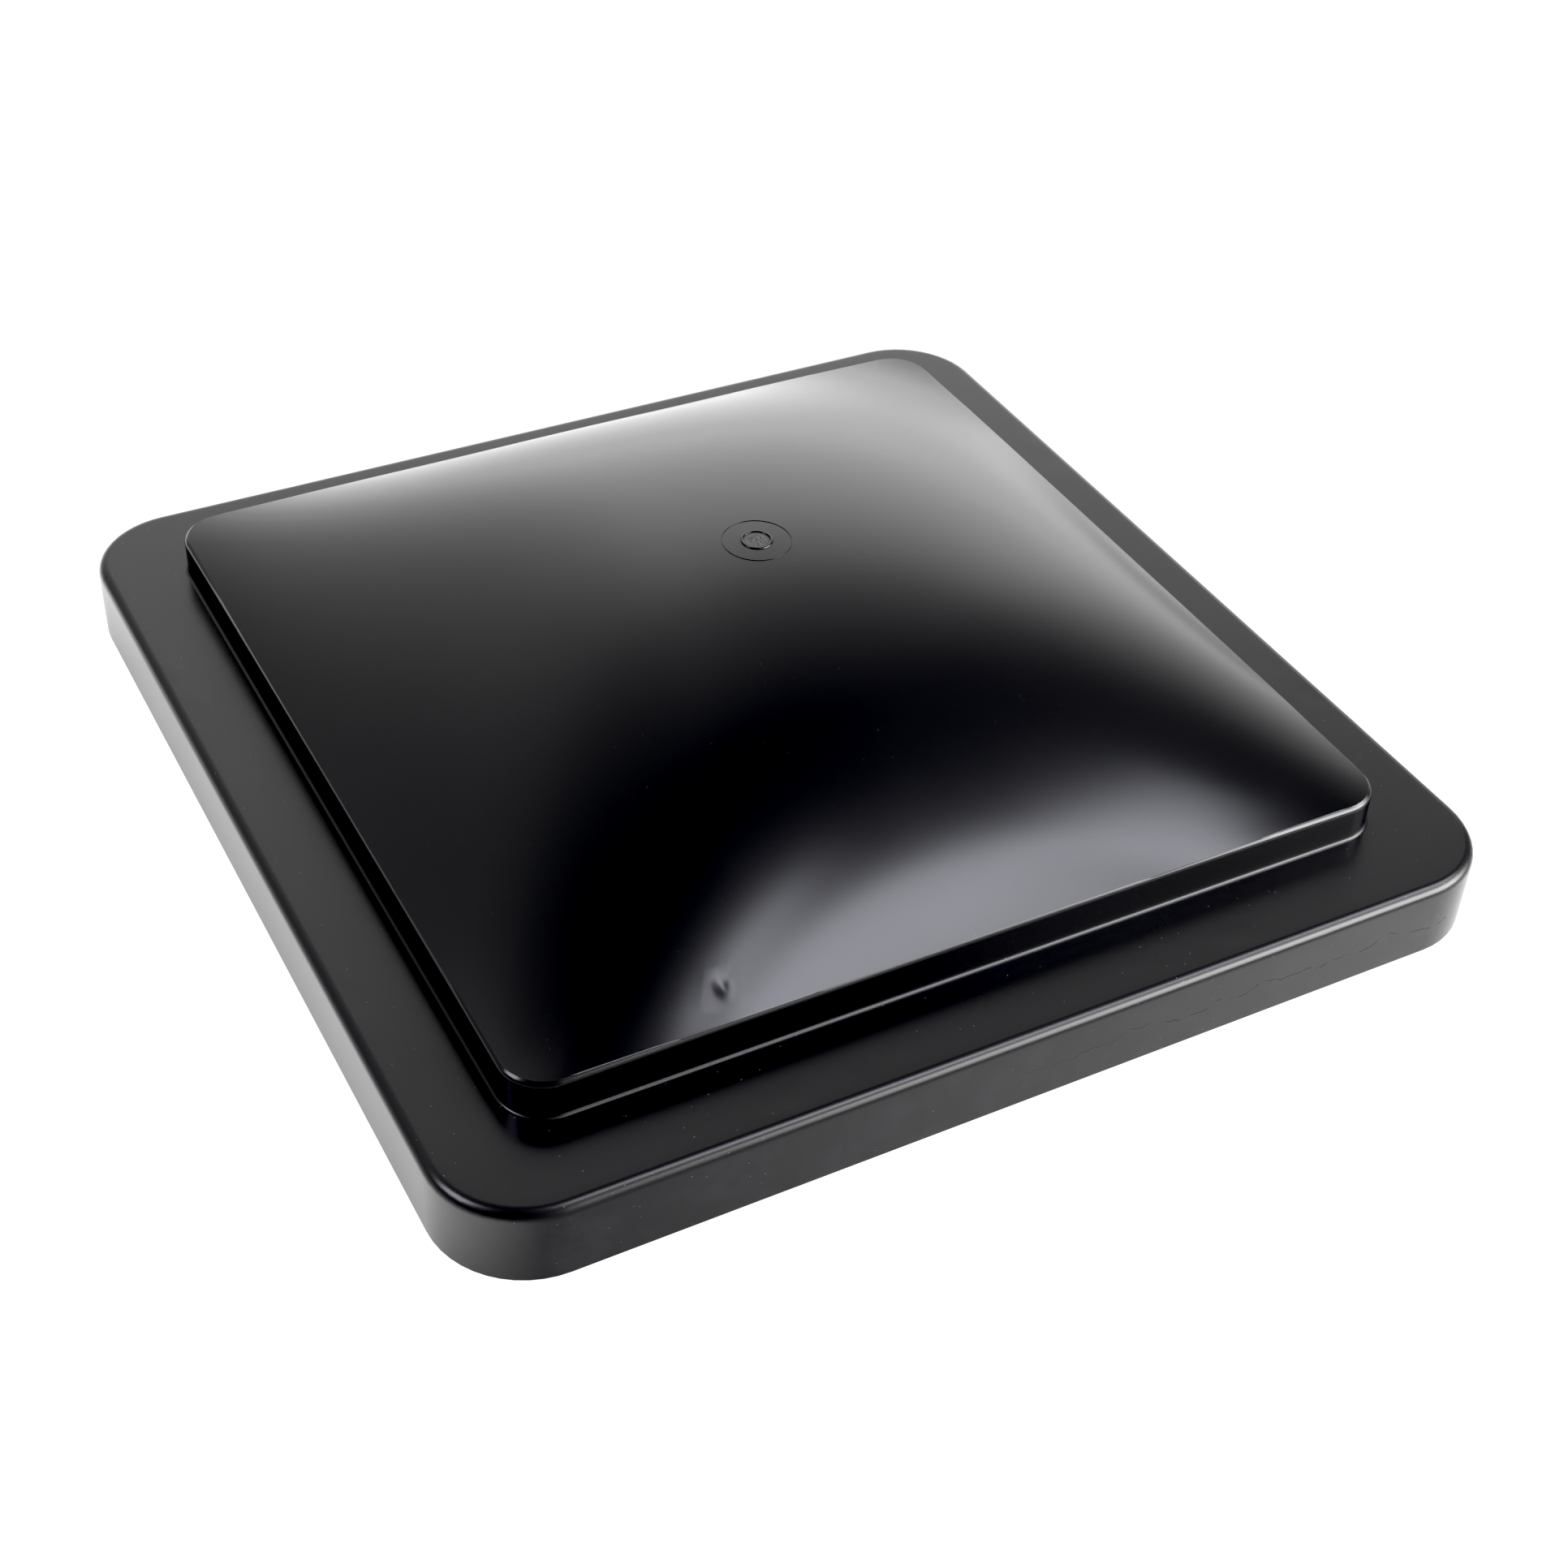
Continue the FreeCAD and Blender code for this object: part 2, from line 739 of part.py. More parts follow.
def add_circle_at(sketch, radius, x, y):
    """A circle held by its radius and by its centre's place."""
    circle = sketch.addGeometry(Part.Circle(Vector(1, 1, 0), Vector(0, 0, 1), 1.0), False)
    hold(sketch, Sketcher.Constraint("Radius", circle, 1.0), radius)
    hold(sketch, Sketcher.Constraint("DistanceX", -1, 1, circle, 3, 1.0), x)
    hold(sketch, Sketcher.Constraint("DistanceY", -1, 1, circle, 3, 1.0), y)


def make_rail_stop(name, side):
    """An end stop: a plug inside the channel and a flange against its end."""
    plug_width = "rail_width - 2 * rail_sheet - 2 * stop_gap"
    plug_bottom = "rail_level - rail_height + rail_sheet + stop_gap"
    plug_top = "rail_level - rail_sheet - stop_gap"
    plug_middle = f"{side} * (rail_length - stop_plug) / 2"
    plug = centred_block(
        f"{name}_plug", plug_width, "stop_plug", plug_bottom, plug_top, plug_middle
    )
    flange_middle = f"{side} * (rail_length + stop_flange) / 2"
    flange = centred_block(
        f"{name}_flange", "rail_width", "stop_flange", "rail_level - rail_height",
        "rail_level - rail_sheet", flange_middle,
    )
    return join(name, [plug, flange])


# The trolley --------------------------------------------------------------------------------------


def make_trolley_hanger():
    """A plate that hangs through the slot, with the axle's hole above and the bush's hole below."""
    top = f"{AXLE_LEVEL} + hanger_top"
    start = ("-hanger_thick / 2", "0", BUSH_LEVEL)
    parts = [
        centred_block("hanger_plate", "hanger_thick", "2 * hanger_radius", BUSH_LEVEL, top),
        rod("hanger_eye", "X", start, "hanger_radius", "hanger_thick"),
    ]
    through = "hanger_thick + 2"
    left = "-hanger_thick / 2 - 1"
    holes = [
        rod("hanger_axle_hole", "X", (left, "0", AXLE_LEVEL), "axle_radius", through),
        rod("hanger_bush_hole", "X", (left, "0", BUSH_LEVEL), "bush_radius", through),
    ]
    return cut("trolley_hanger", join("hanger_blank", parts), holes)


def make_roller(name, side):
    """A roller with eased edges, a running fit on the axle."""
    middle = f"{side} * (hanger_thick / 2 + spacer_thick + side_play + roller_width / 2)"
    body = new_body(name, middle, "0", AXLE_LEVEL)
    half = "roller_width / 2"
    bore = "axle_radius + running_gap"
    edge = "roller_radius - roller_edge"
    outline = [
        (f"-{half}", bore), (half, bore), (half, edge), (f"{half} - roller_edge", "roller_radius"),
        (f"roller_edge - {half}", "roller_radius"), (f"-{half}", edge),
    ]
    sketch = new_sketch(body, "XZ_Plane")
    add_outline(sketch, outline)
    add_turned(body, sketch, "H_Axis")
    return body


def pair_along_axle(label, master, middle):
    """A piece on each side of the hanger, on the axle."""
    level = size("rail_level") - size("rail_height") / 2
    sides = [Placement(Vector(side * middle, 0, level), Rotation()) for side in (-1, 1)]
    return group(label, master, sides)


def make_trolley():
    """The hanger, its axle and rollers, and what keeps them apart and on."""
    here = ("0", "0", AXLE_LEVEL)
    origin = ("0", "0", "0")
    spacer = turned_tube("spacer", "spacer_radius", "axle_radius", "spacer_thick", origin)
    clip = turned_tube("clip", "clip_radius", "axle_radius", "clip_thick", origin)
    inner = size("hanger_thick") / 2
    outer = inner + size("spacer_thick") + size("roller_width") + 2 * size("side_play")
    return [
        make_trolley_hanger(),
        turned_tube("trolley_axle", "axle_radius", None, "axle_length", here),
        make_roller("roller_left", -1),
        make_roller("roller_right", 1),
        pair_along_axle("roller_spacers", spacer, inner + size("spacer_thick") / 2),
        pair_along_axle("axle_clips", clip, outer + size("clip_thick") / 2),
        turned_tube("hanger_bush", "bush_radius", "bush_bore", "bush_length", ("0", "0", BUSH_LEVEL)),
    ]


def make_nodes():
    return [
        make_lid_shell(),
        make_weather_seal(),
        make_hinge_lid_leaf(),
        make_hinge_base_leaf(),
        make_hinge_pin(),
        make_hinge_pin_caps(),
        make_lift_rail(),
        make_rail_stop("rail_stop_front", -1),
        make_rail_stop("rail_stop_rear", 1),
        *make_screws_and_washers(),
        *make_trolley(),
    ]


def check_and_write(nodes):
    """Stop on anything that failed to build, and write one file for each node."""
    doc.recompute()
    for thing in doc.Objects:
        if {"Invalid", "Error"} & set(thing.State):
            raise ValueError(f"{thing.Name} failed: {thing.State}")
    os.makedirs("parts", exist_ok=True)
    for node in nodes:
        shape = node.Shape
        if shape.isNull() or not shape.isValid() or not shape.Solids:
            raise ValueError(f"{node.Label} has no valid solid")
        shape.exportStep(f"parts/{node.Label}.step")
        print(f"{node.Label}: {len(shape.Solids)} solid(s), {shape.Volume / 1000:.2f} cm3")


check_and_write(make_nodes())
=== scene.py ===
"""Looks for the opening lid of a caravan roof vent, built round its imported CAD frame.

Metres, in the CAD's own frame: +Z up, +Y to the rear where the hinge is, origin at the centre of the
skirt's bottom edge. The moulded lid and the foam seal are rebuilt as meshes. Every other piece is the
CAD's own, with its edges eased and a finish of its own.
"""

import math

import bmesh
import bpy
from bpy.props import FloatProperty, FloatVectorProperty, PointerProperty
from mathutils import Matrix, Vector, noise


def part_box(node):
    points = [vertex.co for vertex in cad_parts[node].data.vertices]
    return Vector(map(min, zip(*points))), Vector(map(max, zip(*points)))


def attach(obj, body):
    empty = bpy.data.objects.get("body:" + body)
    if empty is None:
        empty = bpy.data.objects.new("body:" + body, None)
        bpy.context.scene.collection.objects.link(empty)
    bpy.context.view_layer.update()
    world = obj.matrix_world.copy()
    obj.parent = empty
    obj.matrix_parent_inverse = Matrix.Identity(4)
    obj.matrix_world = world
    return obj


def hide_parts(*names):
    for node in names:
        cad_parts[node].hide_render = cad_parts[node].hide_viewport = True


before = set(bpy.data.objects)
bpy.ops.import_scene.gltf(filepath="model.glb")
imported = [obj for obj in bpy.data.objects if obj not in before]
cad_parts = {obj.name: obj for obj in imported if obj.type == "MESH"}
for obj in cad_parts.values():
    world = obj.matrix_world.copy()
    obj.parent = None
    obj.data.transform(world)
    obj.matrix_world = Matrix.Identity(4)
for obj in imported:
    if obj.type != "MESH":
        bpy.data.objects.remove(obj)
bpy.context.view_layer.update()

bl_info = {
    "name": "Roof vent lid",
    "version": (1, 0, 0),
    "blender": (4, 5, 0),
    "location": "3D View > Sidebar > Vent lid",
    "description": "Builds the moulded lid, its foam seal, the finishes of its hardware and a studio",
    "category": "Add Mesh",
}

SHELL_LOW, SHELL_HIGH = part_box("lid_shell")
SEAL_LOW, SEAL_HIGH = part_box("weather_seal")
LEAF_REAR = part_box("hinge_lid_leaf")[1].y
RAIL_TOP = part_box("lift_rail")[1].z
MM = 0.001


# Sizes and colours --------------------------------------------------------------------------------


def linear(hex_colour):
    """An sRGB hex colour as linear red, green, blue and alpha."""
    channels = [int(hex_colour[i : i + 2], 16) / 255 for i in (1, 3, 5)]
    return [c / 12.92 if c <= 0.04045 else ((c + 0.055) / 1.055) ** 2.4 for c in channels] + [1.0]


def length(label, metres, what):
    """A size that a user can change."""
    return FloatProperty(name=label, description=what, default=metres, unit="LENGTH", precision=5)


def angle(label, degrees, what):
    """An angle that a user can change."""
    return FloatProperty(name=label, description=what, default=math.radians(degrees), subtype="ANGLE")


def amount(label, value, what):
    """A plain number that a user can change."""
    return FloatProperty(name=label, description=what, default=value, precision=3)


def colour(label, hex_colour, what):
    """A colour that a user can change."""
    return FloatVectorProperty(
        name=label, description=what, default=linear(hex_colour), subtype="COLOR", size=4, min=0, max=1
    )


class VentLidSizes(bpy.types.PropertyGroup):
    """The moulded lid."""

    wall: length("Wall", 2.5 * MM, "Thickness of the moulding")
    width: length("Width", SHELL_HIGH.x - SHELL_LOW.x, "Over the skirt, side to side")
    long: length("Length", SHELL_HIGH.y - SHELL_LOW.y, "Over the skirt, front to rear")
    corner: length("Corner", 34 * MM, "Radius of the skirt's corners")
    edge: length("Top edge", 4 * MM, "Rounding between the skirt and the flange")
    edge_break: length("Bottom edge", 0.4 * MM, "Rounding of the skirt's bottom edge")
    crown_width: length("Crown width", 336.6 * MM, "Over the riser, side to side")
    crown_long: length("Crown length", 342.6 * MM, "Over the riser, front to rear")
    crown_shift: length("Crown shift", 1.7 * MM, "How far the crown's middle lies to the rear")
    crown_corner: length("Crown corner", 16 * MM, "Radius of the riser's corners")
    crown_fullness: amount("Crown fullness", 0.2, "How much of the fall is left to the rim")
    rim_level: length("Rim level", 44.6 * MM, "Height of the crown's level rim")
    rim_edge: length("Rim edge", 2.4 * MM, "Rounding between the riser and the crown")
    rim_foot: length("Riser foot", 1.2 * MM, "Fillet between the flange and the riser")
    ceiling_drop: length("Crown wall", 2.8 * MM, "Thickness of the crown, measured upright")
    room_edge: length("Room edge", 1.5 * MM, "Fillet round the top of the crown's room")
    gate_ring: length("Gate line", 13 * MM, "Radius of the fine line round the gate mark")
    gate_line: length("Gate line width", 0.5 * MM, "Width of that line")
    gate_rim: length("Gate rim", 6 * MM, "Radius of the raised rim")
    gate_stub: length("Gate stub", 2.2 * MM, "Radius of the snapped stub")
    gate_rise: length("Gate rise", 0.4 * MM, "How far the rim stands up")
    rib: length("Rib", 1.6 * MM, "Thickness of the ribs and gussets")
    rib_height: length("Rib height", 3 * MM, "How far the ribs beside the seal stand down")
    boss_radius: length("Boss", 4.6 * MM, "Radius of the screw bosses and pads")
    pilot_radius: length("Pilot", 1.8 * MM, "Radius of the screw holes in them")
    pilot_depth: length("Pilot depth", 5.4 * MM, "Depth of those holes")


class SealSizes(bpy.types.PropertyGroup):
    """The foam seal."""

    strip: length("Strip", 14 * MM, "Width of the foam strip")
    corner: length("Corner", 16 * MM, "Radius of the ring's inside corners")
    soft_edge: length("Soft edge", 2.2 * MM, "Rounding of the face that meets the vent")
    sag: length("Unevenness", 0.18 * MM, "How far the cut foam wanders")
    joint_depth: length("Joint depth", 0.9 * MM, "Depth of the groove where the strip's ends meet")


class FinishColours(bpy.types.PropertyGroup):
    """Base colours of the finishes."""

    polypropylene: colour("Polypropylene", "#131314", "Black masterbatch")
    bloom: colour("Bloom", "#242426", "Where handling has left a grey bloom")
    torn: colour("Torn", "#4a4a48", "Stress-whitened plastic at the gate")
    # Painted shade: the near-black colour of the scuff's lip stands in for the shadow in it.
    scuff_shade: colour("Scuff_shade", "#020202", "In the ragged lip of the scuffed skirt")
    dust: colour("Dust", "#6b6a66", "Specks of dust")
    foam: colour("Foam", "#232426", "Closed-cell foam")
    stainless: colour("Stainless", "#b8b6b1", "Rolled stainless steel")
    galvanised: colour("Galvanised", "#a3a8ab", "Hot-dip zinc")
    zinc: colour("Zinc plate", "#c4c7cc", "Clear passivated zinc")
    nylon: colour("Nylon", "#55575a", "Grey glass-filled nylon")
    acetal: colour("Acetal", "#e6e4dc", "White acetal")
    bronze: colour("Bronze", "#a87a45", "Sintered bronze")


class StudioSizes(bpy.types.PropertyGroup):
    """The camera, the lights and the floor."""

    azimuth: angle("Azimuth", -29.974, "Camera's turn round the lid; 0 looks along +Y")
    elevation: angle("Elevation", 39.588, "Camera's height above the horizon")
    roll: angle("Roll", 3.162, "Camera's turn about its own line of sight")
    distance: length("Distance", 889.6 * MM, "From the camera to its target")
    target_x: length("Target X", -15.735 * MM, "Where the camera looks")
    target_y: length("Target Y", -56.714 * MM, "Where the camera looks")
    target_z: length("Target Z", 30 * MM, "Where the camera looks")
    lens: amount("Lens", 56.544, "Focal length in millimetres on a 36 mm sensor")
    softbox: amount("Softbox", 8.5, "Radiance of the soft light at the front right")
    wall_glow: amount("Wall glow", 2.0, "Radiance of the bright wall behind the lid")
    front_glow: amount("Front glow", 17.0, "Radiance of the window low at the front right")
    room_glow: amount("Room glow", 0.25, "Radiance of the rest of the room")
    floor_glow: amount("Floor glow", 1.0, "Radiance of the lit floor, as the lid's sides reflect it")
    black_level: amount("Black level", 0.027, "Radiance that is shown as black")
    paper: colour("Paper", "#7d7d7d", "The floor, as the lid's sides reflect it")
    cool: colour("Cool", "#f3f4ff", "Tint of the soft light")


# Rings and lofts ----------------------------------------------------------------------------------

SIDE_STEPS = 60
ARC_STEPS = 12
CROWN_STEPS = 56
ROOM_STEPS = 26
TURNED_STEPS = 40


def rounded_rectangle(half_x, half_y, corner, middle_y):
    """Points and outward normals round a rectangle, the same count and order at every size."""
    quadrants = ((1, 1), (-1, 1), (-1, -1), (1, -1))
    centres = [
        Vector((x * (half_x - corner), middle_y + y * (half_y - corner))) for x, y in quadrants
    ]
    pairs = []
    for number, centre in enumerate(centres):
        for step in range(ARC_STEPS):
            turn = (number + step / ARC_STEPS) * math.pi / 2
            normal = Vector((math.cos(turn), math.sin(turn)))
            pairs.append((centre + corner * normal, normal))
        turn = (number + 1) * math.pi / 2
        normal = Vector((math.cos(turn), math.sin(turn)))
        start = centre + corner * normal
        end = centres[(number + 1) % 4] + corner * normal
        pairs += [(start.lerp(end, step / SIDE_STEPS), normal) for step in range(SIDE_STEPS)]
    return pairs


def ring(shape, grow, level):
    """A level ring, grown outwards from a shape of half width, half length, corner and middle."""
    half_x, half_y, corner, middle_y = shape
    pairs = rounded_rectangle(half_x + grow, half_y + grow, corner + grow, middle_y)
    return [Vector((*point, level)) for point, _ in pairs]


def rounding(shape, grow, level, radius, start, end, steps):
    """Rings along a rounded edge, whose centre is grown and level as given, in degrees from outwards."""
    rings = []
    for step in range(steps + 1):
        turn = math.radians(start + (end - start) * step / steps)
        rings.append(ring(shape, grow + radius * math.cos(turn), level + radius * math.sin(turn)))
    return rings


def between(first, last, steps):
    """Rings evenly spaced from one ring to another, without either."""
    shares = [step / steps for step in range(1, steps)]
    return [[a.lerp(b, share) for a, b in zip(first, last)] for share in shares]


def crown_height(shape, rim, top, fullness):
    """The height of a crown that falls from its top to a level rim, the same way along X and Y."""
    half_x, half_y, _, middle_y = shape

    def fall(share):
        return 1 - (1 - fullness) * share**2 - fullness * share**4

    def height(x, y):
        return rim + (top - rim) * fall(x / half_x) * fall((y - middle_y) / half_y)

    return height


def shoulder(shape, height, radius, steps):
    """Rings of a rounded edge that touches an upright wall and the sloping surface above it."""
    near = 0.1 * MM
    rings = [[] for _ in range(steps + 1)]
    for point, normal in rounded_rectangle(*shape):
        edge = height(*point)
        slope = (height(*(point - near * normal)) - edge) / near
        centre = edge + slope * radius - radius * math.hypot(1, slope)
        sweep = math.atan2(1, slope)
        for step in range(steps + 1):
            turn = sweep * step / steps
            place = point - radius * (1 - math.cos(turn)) * normal
            rings[step].append(Vector((*place, centre + radius * math.sin(turn))))
    return rings


def crown_rings(edge, middle, height, hub, steps):
    """Rings from a crown's edge to a circle round the gate mark, square ones first."""
    reach = max(point.x for point in edge)
    square_from = 0.5
    rings = []
    for step in range(1, steps + 1):
        share = 1 - (1 - hub / reach) * step / steps
        square = min(1, (share - hub / reach) / (square_from - hub / reach))
        square *= square * (3 - 2 * square)
        points = []
        for corner in edge:
            away = corner.xy - middle
            place = (share * reach * away.normalized()).lerp(middle + share * away, square)
            points.append(Vector((*place, height(*place))))
        rings.append(points)
    return rings


def circle(edge, middle, radius, level):
    """A circle about the gate mark; its points keep the directions of an edge's points."""
    points = []
    for corner in edge:
        place = radius * (corner.xy - middle).normalized()
        points.append(Vector((*place, level(*place))))
    return points


def skin(mesh, rings, closed):
    """Join rings to a surface. Closed joins the last ring to the first; otherwise both get a cap."""
    loops = [[mesh.verts.new(point) for point in points] for points in rings]
    pairs = list(zip(loops, loops[1:]))
    if closed:
        pairs.append((loops[-1], loops[0]))
    count = len(loops[0])
    for one, other in pairs:
        for i in range(count):
            mesh.faces.new((one[i], other[i], other[(i + 1) % count], one[(i + 1) % count]))
    if not closed:
        mesh.faces.new(loops[0])
        mesh.faces.new(reversed(loops[-1]))
    return loops


def new_piece(name, mesh):
    """A mesh object with outward normals, smooth except at real edges."""
    bmesh.ops.recalc_face_normals(mesh, faces=mesh.faces)
    data = bpy.data.meshes.new(name)
    mesh.to_mesh(data)
    mesh.free()
    piece = bpy.data.objects.new(name, data)
    bpy.context.scene.collection.objects.link(piece)
    smooth(piece)
    return piece


def smooth(piece):
    """Shade smooth, with sharp edges where faces meet at more than 35 degrees."""
    piece.data.shade_smooth()
    piece.data.set_sharp_from_angle(angle=math.radians(35))


def even_normals(piece):
    """Normals that lean to the larger faces, so that flats stay flat beside small roundings."""
    modifier = piece.modifiers.new("even_normals", "WEIGHTED_NORMAL")
    modifier.keep_sharp = True
    modifier.weight = 100


# The moulded lid ----------------------------------------------------------------------------------

# Radii of the level rings inside the gate's line, then of the dish with how torn each ring is, and the
# rings of the snapped stub as shares of its radius.
GATE_RINGS = (12.1 * MM, 11.0 * MM, 9.0 * MM, 7.2 * MM, 6.2 * MM)
DISH_RINGS = ((4.6 * MM, 0.1), (4.0 * MM, 0.3), (3.4 * MM, 0.4), (2.8 * MM, 0.5))
STUB_SHARES = (1.0, 0.85, 0.65, 0.45, 0.25)
DING_PLACE = Vector((-93, -158.5)) * MM
DING_RADIUS = 5 * MM
DING_DEPTH = 0.26 * MM


def lid_shapes(sizes):
    """The outlines that the lid's rings follow."""
    skirt = (sizes.width / 2, sizes.long / 2, sizes.corner, 0.0)
    riser = (sizes.crown_width / 2, sizes.crown_long / 2, sizes.crown_corner, sizes.crown_shift)
    room = tuple(size - sizes.wall for size in riser[:3]) + (sizes.crown_shift,)
    return skirt, riser, room


def crown_surfaces(sizes):
    """The heights of the crown's outer and inner surfaces."""
    _, riser, room = lid_shapes(sizes)
    top = SHELL_HIGH.z - sizes.gate_rise
    drop = sizes.ceiling_drop
    outer = crown_height(riser, sizes.rim_level, top, sizes.crown_fullness)
    inner = crown_height(room, sizes.rim_level - drop, top - drop, sizes.crown_fullness)
    return outer, inner


def gate_mark(sizes, edge, middle, height):
    """Rings of the gate mark: a fine raised line, then a bead round a dished, torn middle."""
    line_steps = 6
    line_rise = 0.55 * sizes.gate_rise
    line_middle = sizes.gate_ring - sizes.gate_line / 2
    rings = [circle(edge, middle, sizes.gate_ring + 0.4 * MM, height)]
    for step in range(-line_steps, line_steps + 1):
        share = step / line_steps
        radius = line_middle - share * sizes.gate_line / 2
        rise = line_rise * (1 - share**2)
        rings.append(circle(edge, middle, radius, lambda x, y: height(x, y) + rise))
    for radius in GATE_RINGS:
        rings.append(circle(edge, middle, radius, height))
    bead = 0.55 * MM
    bead_steps = 8
    bead_lift = 0.1 * sizes.gate_rise
    flat = height(0, 0)
    for step in range(bead_steps + 1):
        turn = math.pi * step / bead_steps
        radius = sizes.gate_rim - bead + bead * math.cos(turn)
        level = flat + sizes.gate_rise * math.sin(turn) + bead_lift * step / bead_steps
        level = min(level, SHELL_HIGH.z)
        rings.append(circle(edge, middle, radius, lambda x, y: level))

    def torn(share):
        """Dish and stub, roughened where the sprue snapped off."""

        def level(x, y):
            spot = Vector((x, y, 0)) / (1.1 * MM)
            rough = noise.noise(spot) + 0.5 * noise.noise(2.3 * spot)
            rise = 0.15 + share * (0.45 + 0.6 * rough)
            return min(flat + sizes.gate_rise * rise, SHELL_HIGH.z)

        return level

    for radius, share in DISH_RINGS:
        rings.append(circle(edge, middle, radius, torn(share)))
    for fraction in STUB_SHARES:
        rings.append(circle(edge, middle, fraction * sizes.gate_stub, torn(1.0)))
    return rings


def outside_rings(sizes):
    """The lid's outside, from the skirt's bottom edge up to the gate mark."""
    skirt, riser, _ = lid_shapes(sizes)
    height, _ = crown_surfaces(sizes)
    top = SEAL_HIGH.z + sizes.wall
    small = sizes.edge_break
    rings = rounding(skirt, -small, small, small, -90, 0, 3)
    rings += between(rings[-1], ring(skirt, 0, top - sizes.edge), 5)
    rings += rounding(skirt, -sizes.edge, top - sizes.edge, sizes.edge, 0, 90, 10)
    foot = rounding(riser, sizes.rim_foot, top + sizes.rim_foot, sizes.rim_foot, -90, -180, 5)
    rings += between(rings[-1], foot[0], 8)
    rings += foot
    rim = shoulder(riser, height, sizes.rim_edge, 9)
    rings += between(foot[-1], rim[0], 3)
    rings += rim[:-1]
    edge = [Vector((point.x, point.y, height(point.x, point.y))) for point in rim[-1]]
    middle = Vector((0, sizes.crown_shift))
    hub = sizes.gate_ring + 3 * MM
    rings.append(edge)
    rings += crown_rings(edge, middle, height, hub, CROWN_STEPS)
    rings += gate_mark(sizes, edge, middle, height)
    return rings


def rib_rings(shape, outer, inner, ceiling, tip):
    """A rib that stands down from the ceiling, between two growths of a shape."""
    return [
        ring(shape, outer, ceiling),
        ring(shape, outer, tip),
        ring(shape, inner, tip),
        ring(shape, inner, ceiling),
    ]


def inside_rings(sizes, seal):
    """The lid's inside, from the skirt's bottom edge up to the middle of the crown's room."""
    skirt, _, room = lid_shapes(sizes)
    _, height = crown_surfaces(sizes)
    small = sizes.edge_break
    wall = sizes.wall
    ceiling = SEAL_HIGH.z
    tip = ceiling - sizes.rib_height
    gap = 0.4 * MM
    fillet = 1.0 * MM
    entry = 0.6 * MM
    hub = 2 * MM
    outer_half = SEAL_HIGH.x
    inner_half = SEAL_HIGH.x - seal.strip
    outer_seal = (outer_half, outer_half, seal.corner + seal.strip, 0.0)
    inner_seal = (inner_half, inner_half, seal.corner, 0.0)
    rings = rounding(skirt, small - wall, small, small, -90, -180, 3)
    rings += rounding(skirt, -wall - fillet, ceiling - fillet, fillet, 0, 90, 4)
    rings += rib_rings(outer_seal, gap + sizes.rib, gap, ceiling, tip)
    rings += rib_rings(inner_seal, -gap, -gap - sizes.rib, ceiling, tip)
    rings += rounding(room, entry, ceiling + entry, entry, -90, -180, 3)
    rings += shoulder(room, height, sizes.room_edge, 5)
    edge = [Vector((point.x, point.y, height(point.x, point.y))) for point in rings.pop()]
    middle = Vector((0, sizes.crown_shift))
    rings.append(edge)
    rings += crown_rings(edge, middle, height, hub, ROOM_STEPS)
    return rings


def turned(mesh, profile, place):
    """A closed solid turned about Z from radii and heights, then moved by a matrix."""
    turns = [2 * math.pi * i / TURNED_STEPS for i in range(TURNED_STEPS)]
    rings = [
        [place @ Vector((radius * math.cos(t), radius * math.sin(t), level)) for t in turns]
        for radius, level in profile
    ]
    return skin(mesh, rings, closed=False)


def boss_profile(sizes, tall):
    """A boss with a blind screw hole in its near end."""
    chamfer = 0.3 * MM
    return [
        (0.4 * sizes.pilot_radius, sizes.pilot_depth),
        (sizes.pilot_radius, sizes.pilot_depth),
        (sizes.pilot_radius, chamfer),
        (sizes.pilot_radius + chamfer, 0),
        (sizes.boss_radius - chamfer, 0),
        (sizes.boss_radius, chamfer),
        (sizes.boss_radius, tall),
    ]


def add_pads(mesh, sizes):
    """Pads inside the rear skirt, one behind each screw of the hinge leaf."""
    count = 6
    pitch = 56 * MM
    level = 21.6 * MM
    tall = SHELL_HIGH.y - sizes.wall / 2 - LEAF_REAR
    for n in range(count):
        spot = Vector(((n - (count - 1) / 2) * pitch, LEAF_REAR, level))
        place = Matrix.Translation(spot) @ Matrix.Rotation(math.radians(-90), 4, "X")
        turned(mesh, boss_profile(sizes, tall), place)


def add_bosses(mesh, sizes):
    """Bosses up into the crown for the rail's screws, and the web between each pair."""
    _, ceiling = crown_surfaces(sizes)
    half_apart = 7.5 * MM
    half_along = 109 * MM
    into_wall = 1.3 * MM
    profile = boss_profile(sizes, 1.2 * sizes.pilot_depth)
    tops = []
    for x in (-half_apart, half_apart):
        for y in (-half_along, half_along):
            place = Matrix.Translation((x, y, RAIL_TOP))
            tops.append(turned(mesh, profile, place)[-1])
    for y in (-half_along, half_along):
        low = Vector((-half_apart, y - sizes.rib, RAIL_TOP + sizes.rib))
        high = Vector((half_apart, y + sizes.rib, RAIL_TOP + 3 * sizes.rib))
        tops.append(add_block(mesh, low, high)[-1])
    for loop in tops:
        for vertex in loop:
            vertex.co.z = ceiling(vertex.co.x, vertex.co.y) + into_wall


def add_block(mesh, low, high):
    """A block between two corners; its top is the last loop returned."""
    corners = ((low.x, low.y), (high.x, low.y), (high.x, high.y), (low.x, high.y))
    return skin(mesh, [[Vector((*c, z)) for c in corners] for z in (low.z, high.z)], closed=False)


